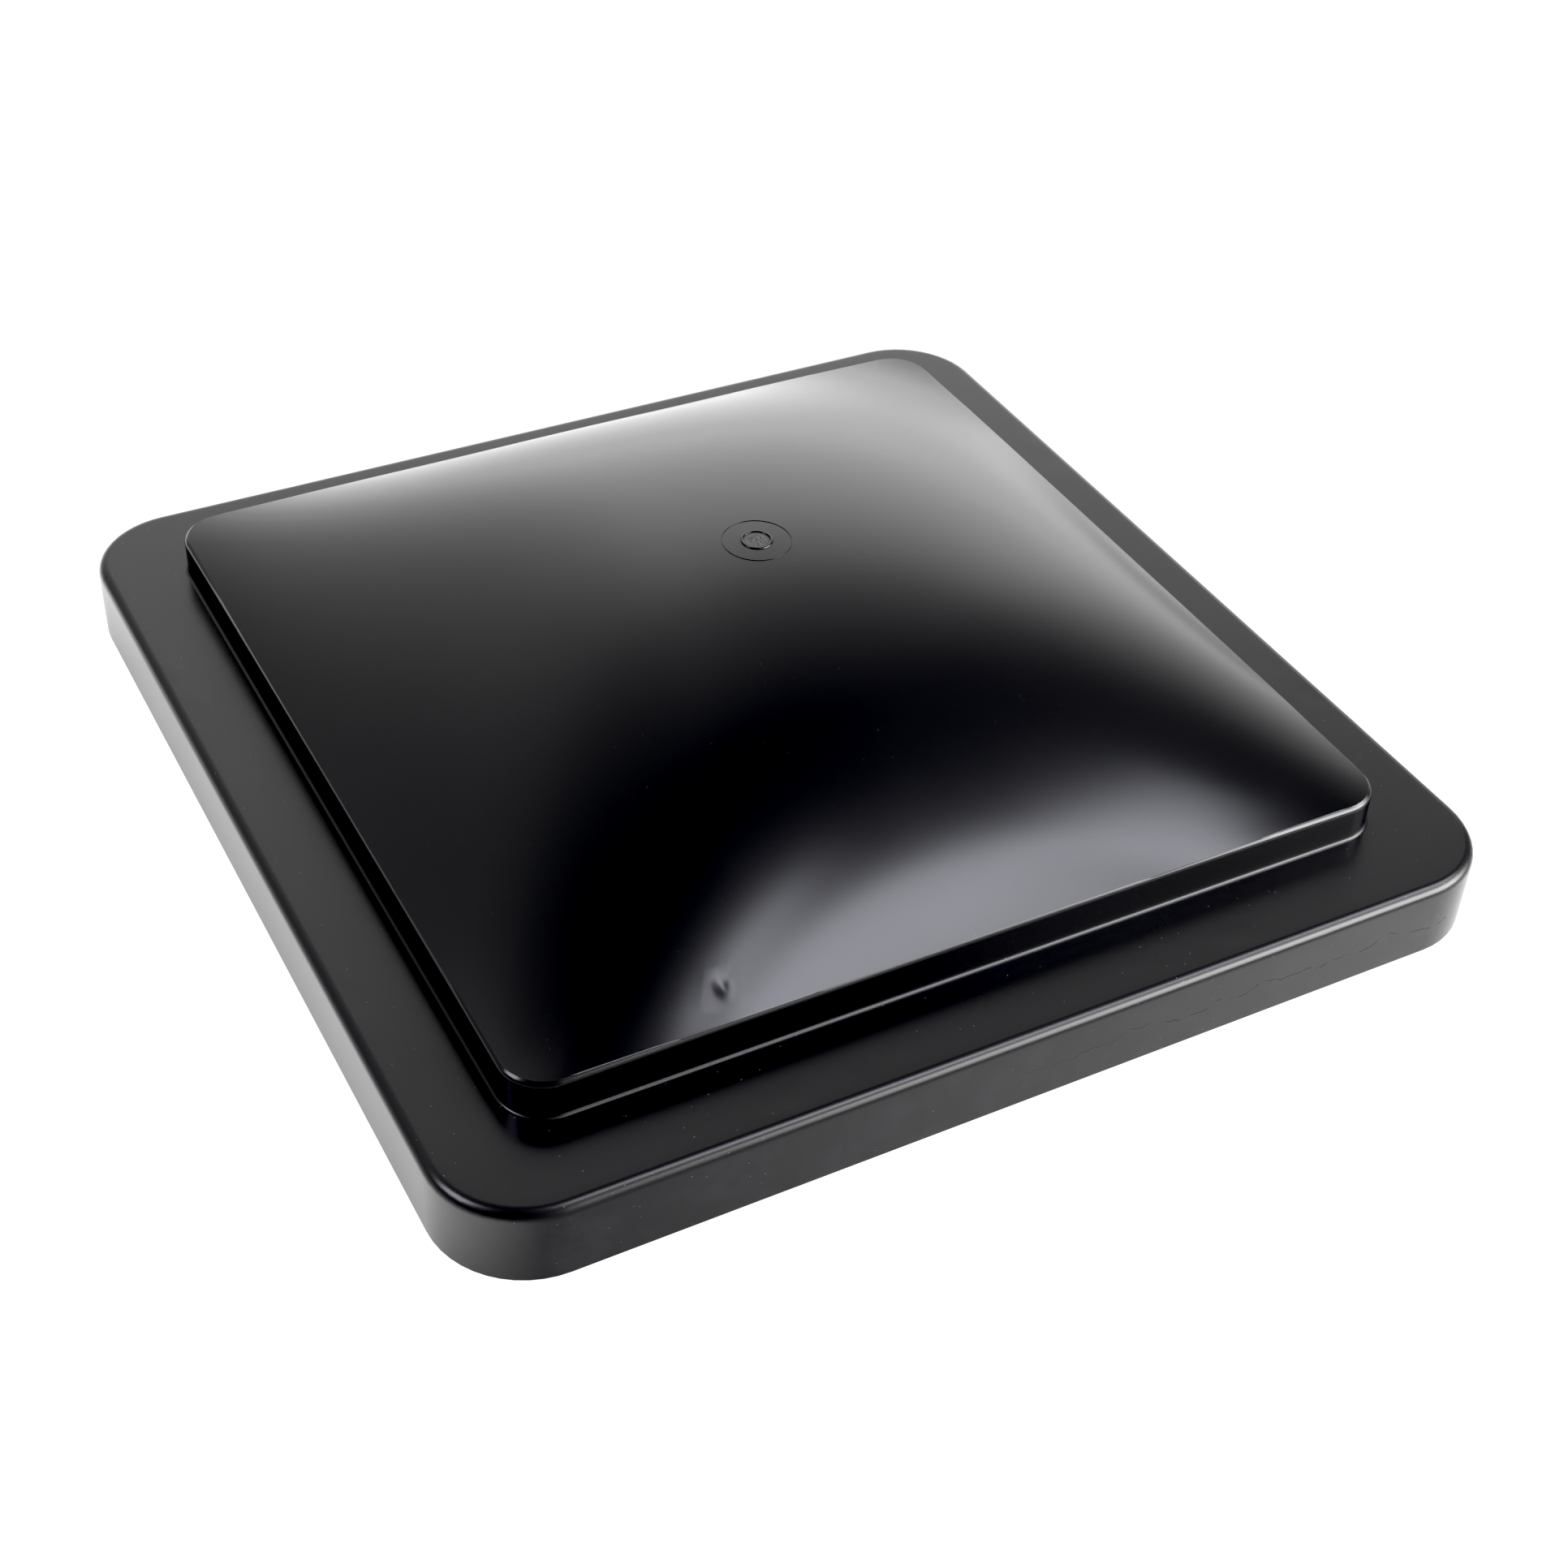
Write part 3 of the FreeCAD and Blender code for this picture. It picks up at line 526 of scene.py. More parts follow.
def add_gussets(mesh, sizes):
    """Small webs between the skirt and the flange, on the three sides away from the hinge."""
    count = 5
    pitch = 60 * MM
    reach = 7.5 * MM + sizes.wall / 2
    drop = 18 * MM
    tip = 2 * MM
    top = SEAL_HIGH.z + 0.2 * MM
    outline = ((0, top - drop), (reach, top - tip), (reach, top), (0, top))
    sides = ((-90, SHELL_LOW.x), (90, SHELL_LOW.x), (0, SHELL_LOW.y))
    for turn, face in sides:
        place = Matrix.Rotation(math.radians(turn), 4, "Z")
        start = face + sizes.wall / 2
        for n in range(count):
            along = (n - (count - 1) / 2) * pitch
            across = (along - sizes.rib / 2, along + sizes.rib / 2)
            rings = [[place @ Vector((x, start + y, z)) for y, z in outline] for x in across]
            skin(mesh, rings, closed=False)


def dent(mesh, height, spot, radius, depth):
    """A small knock in the crown with a crease running off it: finer faces there, pushed inwards."""
    margin = 1.6 * radius
    blow_x, blow_y = 0.42 * radius, 0.6 * radius
    crease_wide, crease_long = 0.16 * radius, 0.7 * radius
    crease_share = 0.12
    crease_way = Vector((0.8, 0.6))
    outer_faces = 0.05 * MM
    outer_points = 0.2 * MM

    def above(point):
        return abs(point.z - height(*point.xy))

    near = []
    for face in mesh.faces:
        middle = face.calc_center_median()
        if (middle.xy - spot).length < margin and above(middle) < outer_faces:
            near.append(face)
    old = set(mesh.verts)
    edges = {edge for face in near for edge in face.edges}
    bmesh.ops.subdivide_edges(mesh, edges=list(edges), cuts=5, use_grid_fill=True)
    fresh = {vertex for vertex in mesh.verts if vertex not in old}
    inner = {vertex for face in near if face.is_valid for vertex in face.verts}
    for vertex in fresh | inner:
        if above(vertex.co) > outer_points:
            continue
        away = vertex.co.xy - spot
        blow = math.exp(-((away.x / blow_x) ** 2) - (away.y / blow_y) ** 2)
        across = away.cross(crease_way)
        along = away.dot(crease_way) - radius
        crease = math.exp(-((across / crease_wide) ** 2) - (along / crease_long) ** 2)
        vertex.co.z = height(*vertex.co.xy) - depth * (blow + crease_share * crease)


def unite(piece, other):
    """Fuse two closed solids and keep the first, with the second's mesh in it."""
    modifier = piece.modifiers.new("unite", "BOOLEAN")
    modifier.operation = "UNION"
    modifier.solver = "EXACT"
    modifier.use_self = True
    modifier.object = other
    bpy.context.view_layer.update()
    graph = bpy.context.evaluated_depsgraph_get()
    fused = bpy.data.meshes.new_from_object(piece.evaluated_get(graph))
    piece.modifiers.clear()
    piece.data = fused
    bpy.data.objects.remove(other)


def build_lid(sizes, seal):
    """The moulded lid as one closed mesh, with its bosses, pads and gussets fused to it."""
    outside = outside_rings(sizes)
    shell = bmesh.new()
    skin(shell, outside[::-1] + inside_rings(sizes, seal), closed=False)
    bmesh.ops.recalc_face_normals(shell, faces=shell.faces)
    outer, _ = crown_surfaces(sizes)
    dent(shell, outer, DING_PLACE, DING_RADIUS, DING_DEPTH)
    lid = new_piece("moulded_lid", shell)
    under = bmesh.new()
    add_pads(under, sizes)
    add_bosses(under, sizes)
    add_gussets(under, sizes)
    unite(lid, new_piece("lid_under", under))
    smooth(lid)
    even_normals(lid)
    return lid


class VENTLID_OT_lid(bpy.types.Operator):
    """Build the moulded lid in place of the CAD shell"""

    bl_idname = "ventlid.lid"
    bl_label = "Moulded lid"

    def execute(self, context):
        scene = context.scene
        lid = build_lid(scene.ventlid_sizes, scene.ventlid_seal)
        lid.data.materials.clear()
        lid.data.materials.append(moulded_polypropylene(scene.ventlid_colours))
        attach(lid, "lid")
        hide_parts("lid_shell")
        return {"FINISHED"}


# The foam seal ------------------------------------------------------------------------------------


def build_seal(seal):
    """A ring of cut foam: flat glued back, soft lower edges, a slight wander, a butt joint at the rear."""
    inner_half = SEAL_HIGH.x - seal.strip
    shape = (inner_half, inner_half, seal.corner, 0.0)
    low = SEAL_LOW.z + 2 * seal.sag
    high = SEAL_HIGH.z
    soft = seal.soft_edge
    crisp = 0.3 * MM
    inset = seal.sag
    far = seal.strip - inset
    rings = rounding(shape, inset + crisp, high - crisp, crisp, 90, 180, 2)
    rings += between(rings[-1], ring(shape, inset, low + soft), 4)
    rings += rounding(shape, inset + soft, low + soft, soft, 180, 270, 6)
    rings += between(rings[-1], ring(shape, far - soft, low), 8)
    rings += rounding(shape, far - soft, low + soft, soft, -90, 0, 6)
    rings += between(rings[-1], ring(shape, far, high - crisp), 4)
    rings += rounding(shape, far - crisp, high - crisp, crisp, 0, 90, 2)
    foam = bmesh.new()
    skin(foam, rings, closed=True)
    coarse, fine = 9 * MM, 3 * MM
    joint_half = 1.2 * MM
    for vertex in foam.verts:
        place = vertex.co.copy()
        share = (high - place.z) / (high - low)
        wander = noise.noise_vector(place / coarse) + 0.4 * noise.noise_vector(place / fine)
        vertex.co += 0.6 * share * seal.sag * wander
        if vertex.co.y > 0:
            joint = math.exp(-((vertex.co.x / joint_half) ** 2))
            centre = Vector((vertex.co.x, inner_half + seal.strip / 2, (low + high) / 2))
            inwards = (centre - vertex.co).normalized()
            vertex.co += seal.joint_depth * joint * share * inwards
    return new_piece("foam_seal", foam)


class VENTLID_OT_seal(bpy.types.Operator):
    """Build the foam seal in place of the plain CAD ring"""

    bl_idname = "ventlid.seal"
    bl_label = "Foam seal"

    def execute(self, context):
        foam = build_seal(context.scene.ventlid_seal)
        foam.data.materials.append(closed_cell_foam(context.scene.ventlid_colours))
        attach(foam, "lid")
        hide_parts("weather_seal")
        return {"FINISHED"}


# Finishes -----------------------------------------------------------------------------------------


def add_node(tree, kind, settings=None, inputs=None):
    """Add a node with its settings, and give its inputs values or links."""
    node = tree.nodes.new(kind)
    for name, value in (settings or {}).items():
        setattr(node, name, value)
    for name, value in (inputs or {}).items():
        if isinstance(value, bpy.types.NodeSocket):
            tree.links.new(value, node.inputs[name])
        else:
            node.inputs[name].default_value = value
    return node


def remap(tree, value, start=0.0, end=1.0, low=0.0, high=1.0):
    """A number taken from one range to another, and held inside it."""
    limits = {"From Min": start, "From Max": end, "To Min": low, "To Max": high}
    return add_node(tree, "ShaderNodeMapRange", inputs={"Value": value, **limits}).outputs[0]


def calculate(tree, operation, one, other):
    """Two numbers put together."""
    return add_node(tree, "ShaderNodeMath", {"operation": operation}, {0: one, 1: other}).outputs[0]


def blend(tree, share, one, other):
    """Two colours mixed. A share of 1 gives the second."""
    inputs = {"Factor": share, "A": one, "B": other}
    return add_node(tree, "ShaderNodeMix", {"data_type": "RGBA"}, inputs).outputs["Result"]


def clouds(tree, place, size, detail, roughness=0.5):
    """Noise whose features have a given size."""
    inputs = {"Vector": place, "Scale": 1 / size, "Detail": detail, "Roughness": roughness}
    return add_node(tree, "ShaderNodeTexNoise", inputs=inputs).outputs


def cells(tree, place, size):
    """Random cells of a given size, each with its own colour."""
    return add_node(tree, "ShaderNodeTexVoronoi", inputs={"Vector": place, "Scale": 1 / size}).outputs


def bump(tree, height, strength, distance, onto=None):
    """A normal that follows a height, on top of another bump if there is one."""
    inputs = {"Height": height, "Strength": strength, "Distance": distance}
    if onto is not None:
        inputs["Normal"] = onto
    return add_node(tree, "ShaderNodeBump", inputs=inputs).outputs["Normal"]


def shade(rgba, *factors):
    """A colour with its red, green and blue made darker or lighter."""
    return [min(1.0, factor * channel) for channel, factor in zip(rgba, factors)] + [1.0]


def start_material(name):
    """A new material's node tree, and the place on the piece as its texture coordinate."""
    material = bpy.data.materials.new(name)
    material.use_nodes = True
    tree = material.node_tree
    tree.nodes.clear()
    place = add_node(tree, "ShaderNodeTexCoord").outputs["Object"]
    return material, tree, place


def finish_material(tree, inputs):
    """Give the material its shader, and link that to the output."""
    shader = add_node(tree, "ShaderNodeBsdfPrincipled", inputs=inputs)
    add_node(tree, "ShaderNodeOutputMaterial", inputs={"Surface": shader.outputs[0]})


def skirt_scuff_and_shade(tree, place, parts):
    """A ragged, broken lip along the right half of the front skirt, where something has scuffed it; the
    mask also carries the painted shade that colours the lip near black.
    """
    lowest, highest = 10 * MM, 16.5 * MM
    swell_start, swell_end = -0.45 * MM, -0.15 * MM
    lip_end = 0.25 * MM
    fade_in = (-20 * MM, 30 * MM)
    along = add_node(tree, "ShaderNodeCombineXYZ", inputs={"X": parts["X"]}).outputs[0]
    wander = clouds(tree, along, 26 * MM, 5.0, 0.55)["Fac"]
    level = remap(tree, wander, 0.35, 0.65, lowest, highest)
    off = calculate(tree, "SUBTRACT", parts["Z"], level)
    swell = remap(tree, off, swell_start, swell_end)
    lip = remap(tree, off, 0.0, lip_end, 1.0, 0.0)
    broken = remap(tree, clouds(tree, place, 5 * MM, 3.0)["Fac"], 0.42, 0.56)
    right_half = remap(tree, parts["X"], *fade_in)
    front = calculate(tree, "LESS_THAN", parts["Y"], SHELL_LOW.y + 1 * MM)
    mask = swell
    for part in (lip, broken, right_half, front):
        mask = calculate(tree, "MULTIPLY", mask, part)
    return mask


def moulded_polypropylene(colours):
    """Black polypropylene, injection moulded in a polished tool.

    It gives deep black with soft-edged highlights. The flange and skirt come from a duller part of the
    tool, and the skirt shows the scuffs of handling, with painted shade in the lip of one.
    """
    polished_from, polished_to = 30.5 * MM, 32 * MM
    dull, polished = 0.27, 0.2
    handled_from, handled_to = 27 * MM, 24 * MM
    torn_from, torn_to = 5 * MM, 4 * MM
    torn_roughness = 0.75
    material, tree, place = start_material("moulded_black_polypropylene")
    parts = add_node(tree, "ShaderNodeSeparateXYZ", inputs={"Vector": place}).outputs
    on_crown = remap(tree, parts["Z"], polished_from, polished_to)
    polish = remap(tree, on_crown, low=dull, high=polished)
    patchy = remap(tree, clouds(tree, place, 60 * MM, 3.0)["Fac"], 0.3, 0.7, -0.012, 0.012)
    roughness = calculate(tree, "ADD", polish, patchy)

    peel = clouds(tree, place, 2.2 * MM, 2.0)["Fac"]
    grain = clouds(tree, place, 0.45 * MM, 2.0)["Fac"]
    grain_strength = remap(tree, on_crown, low=0.22, high=0.05)
    scuff_and_shade = skirt_scuff_and_shade(tree, place, parts)
    normal = bump(tree, peel, 0.06, 0.05 * MM)
    normal = bump(tree, grain, grain_strength, 0.03 * MM, normal)
    normal = bump(tree, scuff_and_shade, 0.8, 0.08 * MM, normal)

    below_flange = remap(tree, parts["Z"], handled_from, handled_to)
    smear = remap(tree, clouds(tree, place, 14 * MM, 6.0, 0.7)["Fac"], 0.45, 0.8, 0.0, 0.6)
    bloom = calculate(tree, "MULTIPLY", smear, below_flange)
    gate = {0: place, 1: (0, 0, SHELL_HIGH.z)}
    from_gate = add_node(tree, "ShaderNodeVectorMath", {"operation": "DISTANCE"}, gate)
    at_gate = remap(tree, from_gate.outputs["Value"], torn_from, torn_to)
    specks = cells(tree, place, 4 * MM)["Distance"]
    speck_size = remap(tree, on_crown, low=0.038, high=0.02)
    dust = calculate(tree, "LESS_THAN", specks, speck_size)
    body = blend(tree, bloom, colours.polypropylene, colours.bloom)
    body = blend(tree, at_gate, body, colours.torn)
    # Painted shade: the scuff's lip is coloured near black, as if in shadow; its bump and roughness are
    # real.
    body = blend(tree, scuff_and_shade, body, colours.scuff_shade)
    body = blend(tree, dust, body, colours.dust)

    rough_spots = calculate(tree, "MAXIMUM", at_gate, scuff_and_shade)
    finish_material(
        tree,
        {
            "Base Color": body,
            "Roughness": remap(tree, rough_spots, low=roughness, high=torn_roughness),
            "Normal": normal,
            "IOR": 1.49,
        },
    )
    return material


def closed_cell_foam(colours):
    """Closed-cell rubber foam, cut from a sheet: dull, with open cells where the knife went, their hollows
    darkened as painted shade.
    """
    material, tree, place = start_material("cut_closed_cell_foam")
    open_cells_and_shade = remap(tree, cells(tree, place, 0.9 * MM)["Distance"], 0.0, 0.45)
    # Painted shade: the hollow of each open cell is coloured darker.
    darker = shade(colours.foam, 0.35, 0.35, 0.35)
    finish_material(
        tree,
        {
            "Base Color": blend(tree, open_cells_and_shade, darker, colours.foam),
            "Roughness": 0.88,
            "Normal": bump(tree, open_cells_and_shade, 0.5, 0.25 * MM),
            "IOR": 1.5,
            "Sheen Weight": 0.15,
        },
    )
    return material


def rolled_stainless(colours):
    """Rolled stainless strip: fine grain along the roll, which draws highlights out across it."""
    drawn_out = (0.02, 1.0, 1.0)
    material, tree, place = start_material("rolled_stainless_steel")
    stretched = add_node(
        tree, "ShaderNodeVectorMath", {"operation": "MULTIPLY"}, {0: place, 1: drawn_out}
    )
    grain = clouds(tree, stretched.outputs[0], 0.35 * MM, 3.0)["Fac"]
    finish_material(
        tree,
        {
            "Base Color": colours.stainless,
            "Metallic": 1.0,
            "Roughness": remap(tree, grain, 0.3, 0.7, 0.24, 0.4),
            "Anisotropic": 0.5,
            "Normal": bump(tree, grain, 0.12, 0.03 * MM),
        },
    )
    return material


def galvanised_steel(colours):
    """Hot-dip galvanised strip: zinc crystals of several millimetres, each a little lighter or duller."""
    warp_share = 0.004
    material, tree, place = start_material("hot_dip_galvanised_steel")
    warp = clouds(tree, place, 4 * MM, 2.0)["Color"]
    bent = add_node(
        tree, "ShaderNodeMix", {"data_type": "VECTOR"}, {"Factor": warp_share, "A": place, "B": warp}
    )
    spangle = cells(tree, bent.outputs["Result"], 7 * MM)["Color"]
    tone = add_node(tree, "ShaderNodeRGBToBW", inputs={"Color": spangle}).outputs[0]
    pale = shade(colours.galvanised, 1.25, 1.25, 1.25)
    dull = shade(colours.galvanised, 0.68, 0.68, 0.68)
    finish_material(
        tree,
        {
            "Base Color": blend(tree, tone, dull, pale),
            "Metallic": 1.0,
            "Roughness": remap(tree, tone, low=0.52, high=0.34),
        },
    )
    return material


def zinc_plate(colours):
    """Zinc plated steel with clear passivation: bright, with a faint blue to straw tint."""
    material, tree, place = start_material("clear_zinc_plated_steel")
    film = clouds(tree, place, 3 * MM, 2.0)["Fac"]
    straw = shade(colours.zinc, 1.0, 0.95, 0.84)
    finish_material(
        tree,
        {
            "Base Color": blend(tree, film, colours.zinc, straw),
            "Metallic": 1.0,
            "Roughness": remap(tree, film, low=0.2, high=0.36),
        },
    )
    return material


def moulded_resin(name, body_colour, roughness, grain_size, subsurface):
    """A moulded engineering plastic: even colour, a fine tool grain and a soft sheen."""
    spread = 0.06
    material, tree, place = start_material(name)
    grain = clouds(tree, place, grain_size, 3.0)["Fac"]
    darker = shade(body_colour, 0.82, 0.82, 0.82)
    finish_material(
        tree,
        {
            "Base Color": blend(tree, grain, darker, body_colour),
            "Roughness": remap(tree, grain, low=roughness - spread, high=roughness + spread),
            "Normal": bump(tree, grain, 0.15, 0.04 * MM),
            "IOR": 1.5,
            "Subsurface Weight": subsurface,
            "Subsurface Scale": 0.6 * MM,
        },
    )
    return material


def sintered_bronze(colours):
    """Sintered bronze, pressed from powder and oiled: dull gold with dark open pores."""
    material, tree, place = start_material("oiled_sintered_bronze")
    solid = remap(tree, cells(tree, place, 0.5 * MM)["Distance"], 0.12, 0.3)
    dark = shade(colours.bronze, 0.2, 0.2, 0.2)
    finish_material(
        tree,
        {
            "Base Color": blend(tree, solid, dark, colours.bronze),
            "Metallic": 1.0,
            "Roughness": 0.45,
            "Normal": bump(tree, solid, 0.4, 0.05 * MM),
        },
    )
    return material


def finish_nodes(names, material, edge):
    """Give CAD nodes a finish, and ease their sharp edges."""
    for name in names:
        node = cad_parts[name]
        for holder in node.material_slots:
            holder.material = material
        weld = node.modifiers.new("weld", "WELD")
        weld.merge_threshold = 0.001 * MM
        ease = node.modifiers.new("ease_edges", "BEVEL")
        ease.width = edge
        ease.segments = 2
        ease.limit_method = "ANGLE"
        ease.angle_limit = math.radians(40)
        even_normals(node)


class VENTLID_OT_hinge(bpy.types.Operator):
    """Finish the continuous hinge"""

    bl_idname = "ventlid.hinge"
    bl_label = "Hinge"

    def execute(self, context):
        steel = rolled_stainless(context.scene.ventlid_colours)
        finish_nodes(("hinge_lid_leaf", "hinge_base_leaf", "hinge_pin"), steel, 0.15 * MM)
        return {"FINISHED"}


class VENTLID_OT_fasteners(bpy.types.Operator):
    """Finish the screws, washers, caps, clips and the axle"""

    bl_idname = "ventlid.fasteners"
    bl_label = "Fasteners"

    def execute(self, context):
        zinc = zinc_plate(context.scene.ventlid_colours)
        names = (
            "hinge_pin_caps", "hinge_screws", "hinge_washers", "rail_screws", "rail_washers",
            "trolley_axle", "roller_spacers", "axle_clips",
        )
        finish_nodes(names, zinc, 0.08 * MM)
        return {"FINISHED"}


class VENTLID_OT_rail(bpy.types.Operator):
    """Finish the lift rail, its end stops and the trolley's hanger"""

    bl_idname = "ventlid.rail"
    bl_label = "Lift rail"

    def execute(self, context):
        colours = context.scene.ventlid_colours
        finish_nodes(("lift_rail",), galvanised_steel(colours), 0.3 * MM)
        nylon = moulded_resin("moulded_grey_nylon", colours.nylon, 0.5, 0.8 * MM, 0.0)
        finish_nodes(("rail_stop_front", "rail_stop_rear", "trolley_hanger"), nylon, 0.35 * MM)
        return {"FINISHED"}


class VENTLID_OT_trolley(bpy.types.Operator):
    """Finish the trolley's rollers and bush"""

    bl_idname = "ventlid.trolley"
    bl_label = "Trolley"

    def execute(self, context):
        colours = context.scene.ventlid_colours
        acetal = moulded_resin("moulded_white_acetal", colours.acetal, 0.32, 1.2 * MM, 0.15)
        finish_nodes(("roller_left", "roller_right"), acetal, 0.15 * MM)
        finish_nodes(("hanger_bush",), sintered_bronze(colours), 0.12 * MM)
        return {"FINISHED"}


# The studio ---------------------------------------------------------------------------------------

WHITE = linear("#ffffff")
SEEN_WHITE = 1.1
# Each soft light's place in metres, its turns about X, Y and Z in degrees, and its size in metres.
SOFTBOXES = {
    "front_softbox": ((0.475, -0.62, 1.04), (30, 0, 0), (0.45, 0.4)),
    "front_left_softbox": ((0.16, -0.46, 1.07), (30, 0, 0), (0.18, 0.4)),
    "front_right_softbox": ((1.05, -0.42, 1.08), (30, 0, 39), (0.64, 0.4)),
    "left_softbox": ((-0.98, 0.03, 0.84), (0, -49, 0), (0.6, 0.5)),
}
# Each fade of the floor's light: where it starts and ends in metres, and its strength at both.
FLOOR_LEFT = (-0.175, -0.215, 0.0, 1.5)
FLOOR_RIGHT = (-0.2, 0.25, 0.15, 1.6)
FLOOR_NEAR = (0.235, 0.29, 1.0, 0.12)
FLOOR_REAR = (0.15, 0.28, 0.1, 1.15)
# How bright the wall and the window are at each height of a direction, and at each turn in degrees.
WALL_TILT = (0.36, -0.25, 1.0)
WALL_HEIGHTS = ((0.42, 1.0), (0.59, 0.7), (0.67, 0.38), (0.77, 0.2), (0.88, 0.06), (0.95, 0.0))
WALL_TURNS = (
    (-80, 0.05), (-45, 0.14), (-33, 0.18), (-22, 0.27), (0, 0.46), (10, 0.65),
    (18, 0.97), (35, 0.93), (52, 0.85), (58, 0.4), (67, 0.0),
)
WINDOW_HEIGHTS = (
    (0.0, 0.6), (0.15, 0.85), (0.3, 1.0), (0.44, 1.0), (0.52, 0.75), (0.59, 0.18),
    (0.68, 0.08), (0.76, 0.0),
)
WINDOW_TURNS = (
    (16, 0.0), (20, 0.1), (25, 0.45), (30, 0.85), (34, 1.0), (60, 1.0), (75, 0.3), (88, 0.0),
)


def add_camera(studio):
    """A camera that looks down at the lid from the front left."""
    turn, lift, roll = studio.azimuth, studio.elevation, studio.roll
    level = math.cos(lift)
    back = Vector((math.sin(turn) * level, -math.cos(turn) * level, math.sin(lift)))
    right = Vector((0, 0, 1)).cross(back).normalized()
    up = back.cross(right)
    rolled_right = math.cos(roll) * right + math.sin(roll) * up
    rolled_up = math.cos(roll) * up - math.sin(roll) * right
    data = bpy.data.cameras.new("studio_camera")
    data.sensor_width = 36
    data.lens = studio.lens
    data.clip_start = 0.01
    data.clip_end = 100
    camera = bpy.data.objects.new("studio_camera", data)
    bpy.context.scene.collection.objects.link(camera)
    target = Vector((studio.target_x, studio.target_y, studio.target_z))
    turned_to = Matrix((rolled_right, rolled_up, back)).transposed().to_4x4()
    camera.matrix_world = Matrix.Translation(target + studio.distance * back) @ turned_to
    bpy.context.scene.camera = camera


def add_softbox(name, place, degrees, size, studio):
    """A soft rectangular light that looks down until it is turned about X, Y and then Z."""
    data = bpy.data.lights.new(name, "AREA")
    data.shape = "RECTANGLE"
    data.size, data.size_y = size
    data.energy = studio.softbox * math.pi * size[0] * size[1]
    data.color = studio.cool[:3]
    light = bpy.data.objects.new(name, data)
    bpy.context.scene.collection.objects.link(light)
    light.location = place
    light.rotation_euler = [math.radians(turn) for turn in degrees]


def white_to_camera(tree, shader, kind, output):
    """Show plain white to the camera, and the given shader to everything that reflects it."""
    white = add_node(tree, kind, inputs={"Color": WHITE, "Strength": SEEN_WHITE}).outputs[0]
    seen = add_node(tree, "ShaderNodeLightPath").outputs["Is Camera Ray"]
    mixed = add_node(tree, "ShaderNodeMixShader", inputs={0: seen, 1: shader.outputs[0], 2: white})
    add_node(tree, output, inputs={"Surface": mixed.outputs[0]})


def add_floor(studio):
    """A wide floor of white paper, overexposed: lit most beside the lid, on its left, and behind it."""
    floor = bmesh.new()
    bmesh.ops.create_circle(floor, cap_ends=True, segments=96, radius=6.0)
    data = bpy.data.meshes.new("studio_floor")
    floor.to_mesh(data)
    floor.free()
    plane = bpy.data.objects.new("studio_floor", data)
    plane.location.z = -0.2 * MM
    bpy.context.scene.collection.objects.link(plane)
    material, tree, place = start_material("white_paper_floor")
    parts = add_node(tree, "ShaderNodeSeparateXYZ", inputs={"Vector": place}).outputs
    across = calculate(tree, "ABSOLUTE", parts["X"], 0.0)
    along = calculate(tree, "ABSOLUTE", parts["Y"], 0.0)
    away = calculate(tree, "MAXIMUM", across, along)
    left = remap(tree, parts["X"], *FLOOR_LEFT)
    right = remap(tree, parts["X"], *FLOOR_RIGHT)
    near = remap(tree, away, *FLOOR_NEAR)
    rear = remap(tree, parts["Y"], *FLOOR_REAR)
    beside = calculate(tree, "ADD", left, right)
    pool = calculate(tree, "MULTIPLY", beside, near)
    lit = calculate(tree, "MULTIPLY", calculate(tree, "ADD", pool, rear), studio.floor_glow)
    paper = add_node(
        tree, "ShaderNodeBsdfPrincipled",
        inputs={
            "Base Color": studio.paper,
            "Roughness": 0.9,
            "Emission Color": WHITE,
            "Emission Strength": lit,
        },
    )
    white_to_camera(tree, paper, "ShaderNodeEmission", "ShaderNodeOutputMaterial")
    data.materials.append(material)


def grey_ramp(tree, value, stops):
    """A number looked up in a ramp of grey stops, each a place and a value."""
    node = add_node(tree, "ShaderNodeValToRGB", inputs={"Fac": value})
    elements = node.color_ramp.elements
    while len(elements) < len(stops):
        elements.new(1.0)
    for element, (place, grey) in zip(elements, stops):
        element.position = place
        element.color = (grey, grey, grey, 1.0)
    return node.outputs["Color"]


def glow_by_direction(tree, height, heights, turn, turns, strength):
    """Light that depends on a direction's height and on its turn, both by grey ramps."""
    upwards = grey_ramp(tree, height, heights)
    share = remap(tree, turn, -math.pi / 2, math.pi / 2)
    sideways = grey_ramp(tree, share, [((degrees + 90) / 180, value) for degrees, value in turns])
    return calculate(tree, "MULTIPLY", calculate(tree, "MULTIPLY", upwards, sideways), strength)


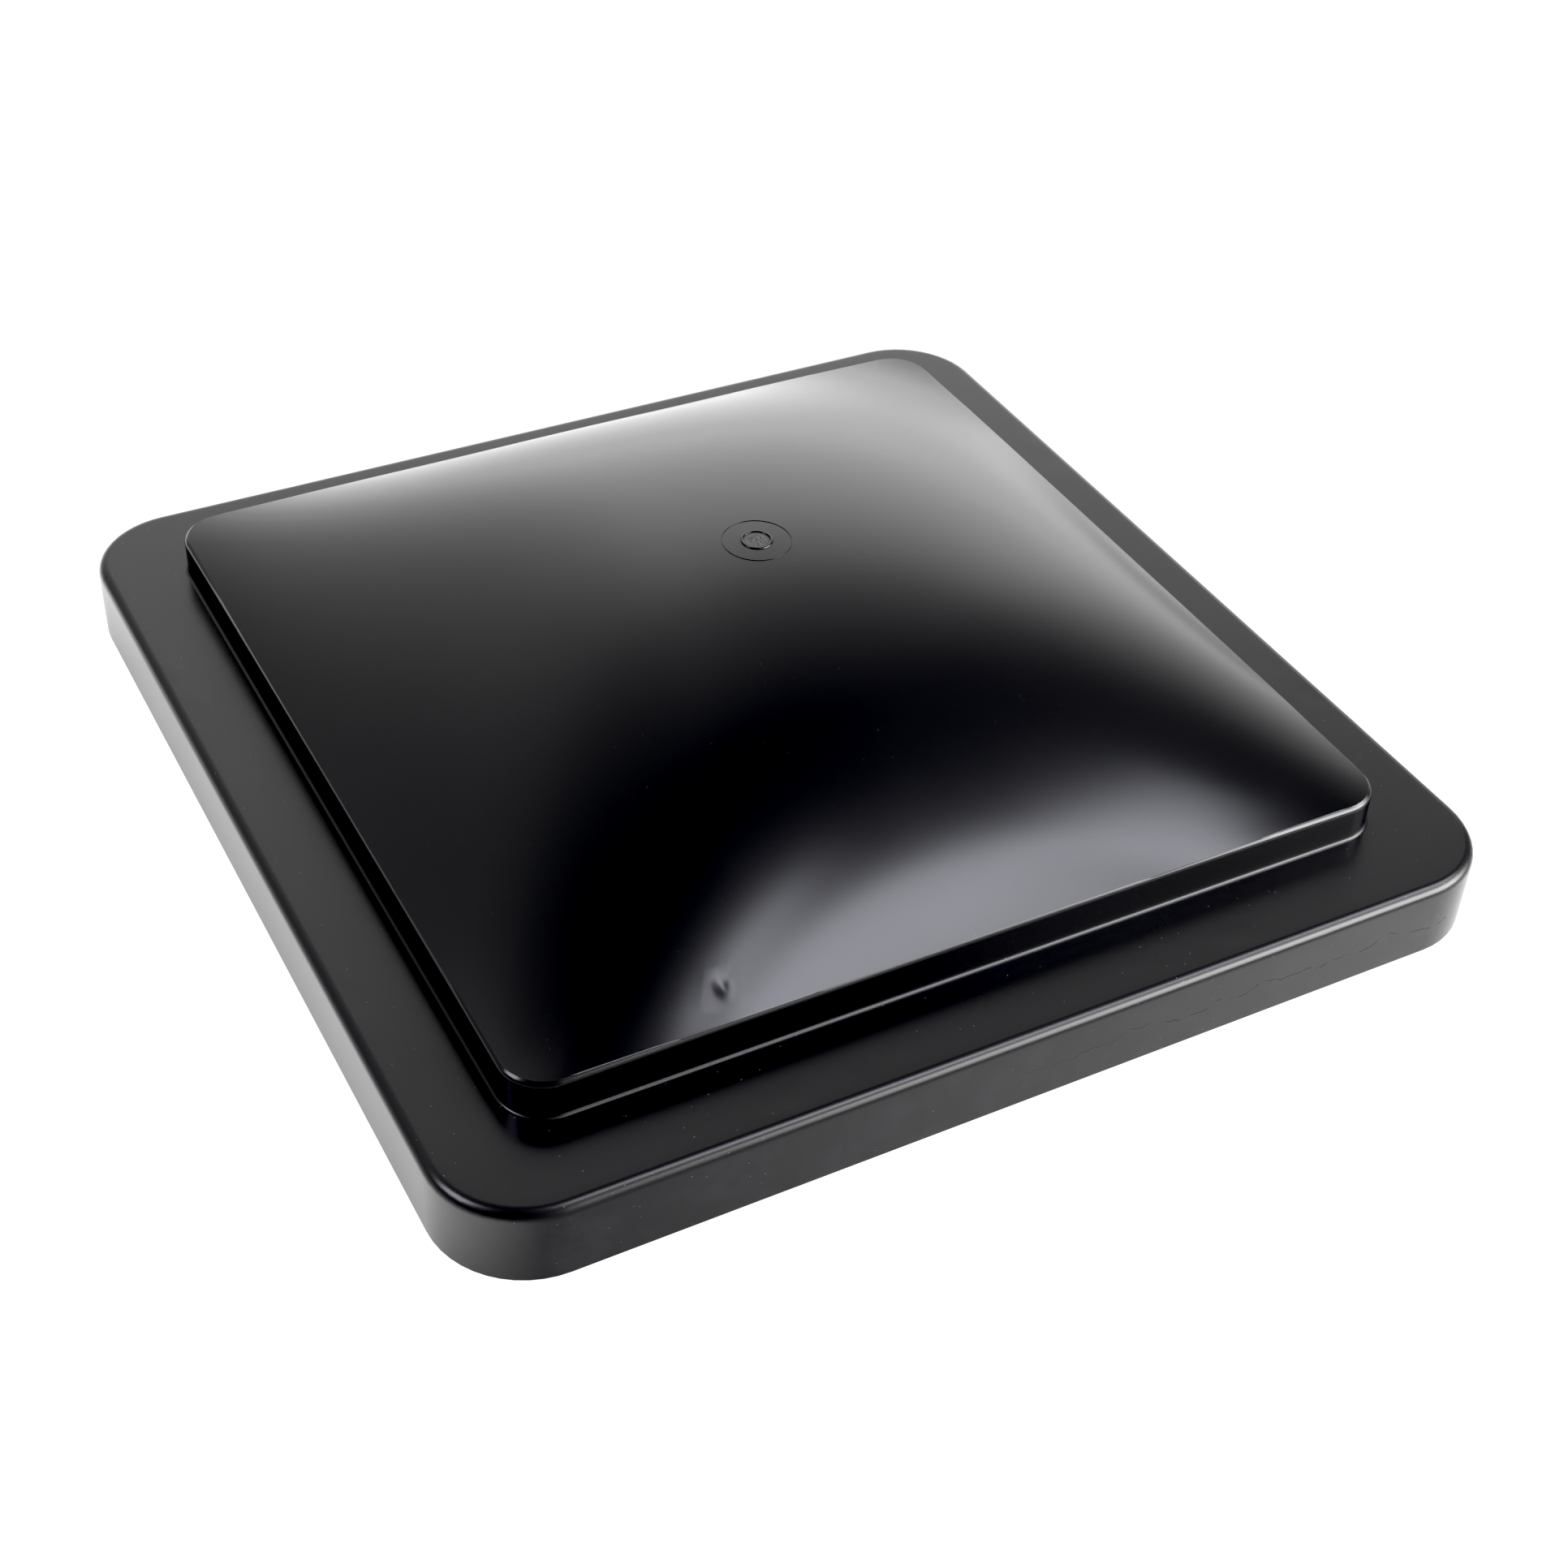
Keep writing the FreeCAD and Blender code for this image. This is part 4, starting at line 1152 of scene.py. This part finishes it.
def add_world(studio):
    """A white room, dim but for a bright wall behind the lid and a window low at the front right."""
    world = bpy.data.worlds.new("studio_world")
    bpy.context.scene.world = world
    world.use_nodes = True
    tree = world.node_tree
    tree.nodes.clear()
    direction = add_node(tree, "ShaderNodeTexCoord").outputs["Generated"]
    parts = add_node(tree, "ShaderNodeSeparateXYZ", inputs={"Vector": direction}).outputs
    tilted = add_node(
        tree, "ShaderNodeVectorMath", {"operation": "DOT_PRODUCT"}, {0: direction, 1: WALL_TILT}
    ).outputs["Value"]
    from_rear = calculate(tree, "ARCTAN2", parts["X"], parts["Y"])
    wall = glow_by_direction(tree, tilted, WALL_HEIGHTS, from_rear, WALL_TURNS, studio.wall_glow)
    forwards = calculate(tree, "MULTIPLY", parts["Y"], -1.0)
    from_front = calculate(tree, "ARCTAN2", parts["X"], forwards)
    window = glow_by_direction(
        tree, parts["Z"], WINDOW_HEIGHTS, from_front, WINDOW_TURNS, studio.front_glow
    )
    lights = calculate(tree, "ADD", wall, window)
    strength = calculate(tree, "ADD", lights, studio.room_glow)
    room = add_node(tree, "ShaderNodeBackground", inputs={"Color": WHITE, "Strength": strength})
    white_to_camera(tree, room, "ShaderNodeBackground", "ShaderNodeOutputWorld")


class VENTLID_OT_studio(bpy.types.Operator):
    """Set up the floor, the lights and the camera"""

    bl_idname = "ventlid.studio"
    bl_label = "Studio"

    def execute(self, context):
        studio = context.scene.ventlid_studio
        add_camera(studio)
        add_floor(studio)
        add_world(studio)
        for name, (place, degrees, size) in SOFTBOXES.items():
            add_softbox(name, place, degrees, size, studio)
        view = context.scene.view_settings
        view.view_transform = "Standard"
        view.use_curve_mapping = True
        view.curve_mapping.black_level = [studio.black_level] * 3
        view.curve_mapping.update()
        return {"FINISHED"}


# The add-on ---------------------------------------------------------------------------------------


class VENTLID_PT_panel(bpy.types.Panel):
    """Lists the steps that build the lid"""

    bl_idname = "VENTLID_PT_panel"
    bl_label = "Roof vent lid"
    bl_space_type = "VIEW_3D"
    bl_region_type = "UI"
    bl_category = "Vent lid"

    def draw(self, context):
        for step in STEPS:
            self.layout.operator(step.bl_idname)


GROUPS = {
    "ventlid_sizes": VentLidSizes,
    "ventlid_seal": SealSizes,
    "ventlid_colours": FinishColours,
    "ventlid_studio": StudioSizes,
}
STEPS = (
    VENTLID_OT_studio,
    VENTLID_OT_lid,
    VENTLID_OT_seal,
    VENTLID_OT_hinge,
    VENTLID_OT_fasteners,
    VENTLID_OT_rail,
    VENTLID_OT_trolley,
)


def register():
    for kind in (*GROUPS.values(), *STEPS, VENTLID_PT_panel):
        bpy.utils.register_class(kind)
    for name, kind in GROUPS.items():
        setattr(bpy.types.Scene, name, PointerProperty(type=kind))


def unregister():
    for name in GROUPS:
        delattr(bpy.types.Scene, name)
    for kind in (VENTLID_PT_panel, *reversed(STEPS), *GROUPS.values()):
        bpy.utils.unregister_class(kind)


def main():
    register()
    bpy.ops.ventlid.studio()
    bpy.ops.ventlid.lid()
    bpy.ops.ventlid.seal()
    bpy.ops.ventlid.hinge()
    bpy.ops.ventlid.fasteners()
    bpy.ops.ventlid.rail()
    bpy.ops.ventlid.trolley()


if __name__ == "__main__":
    main()
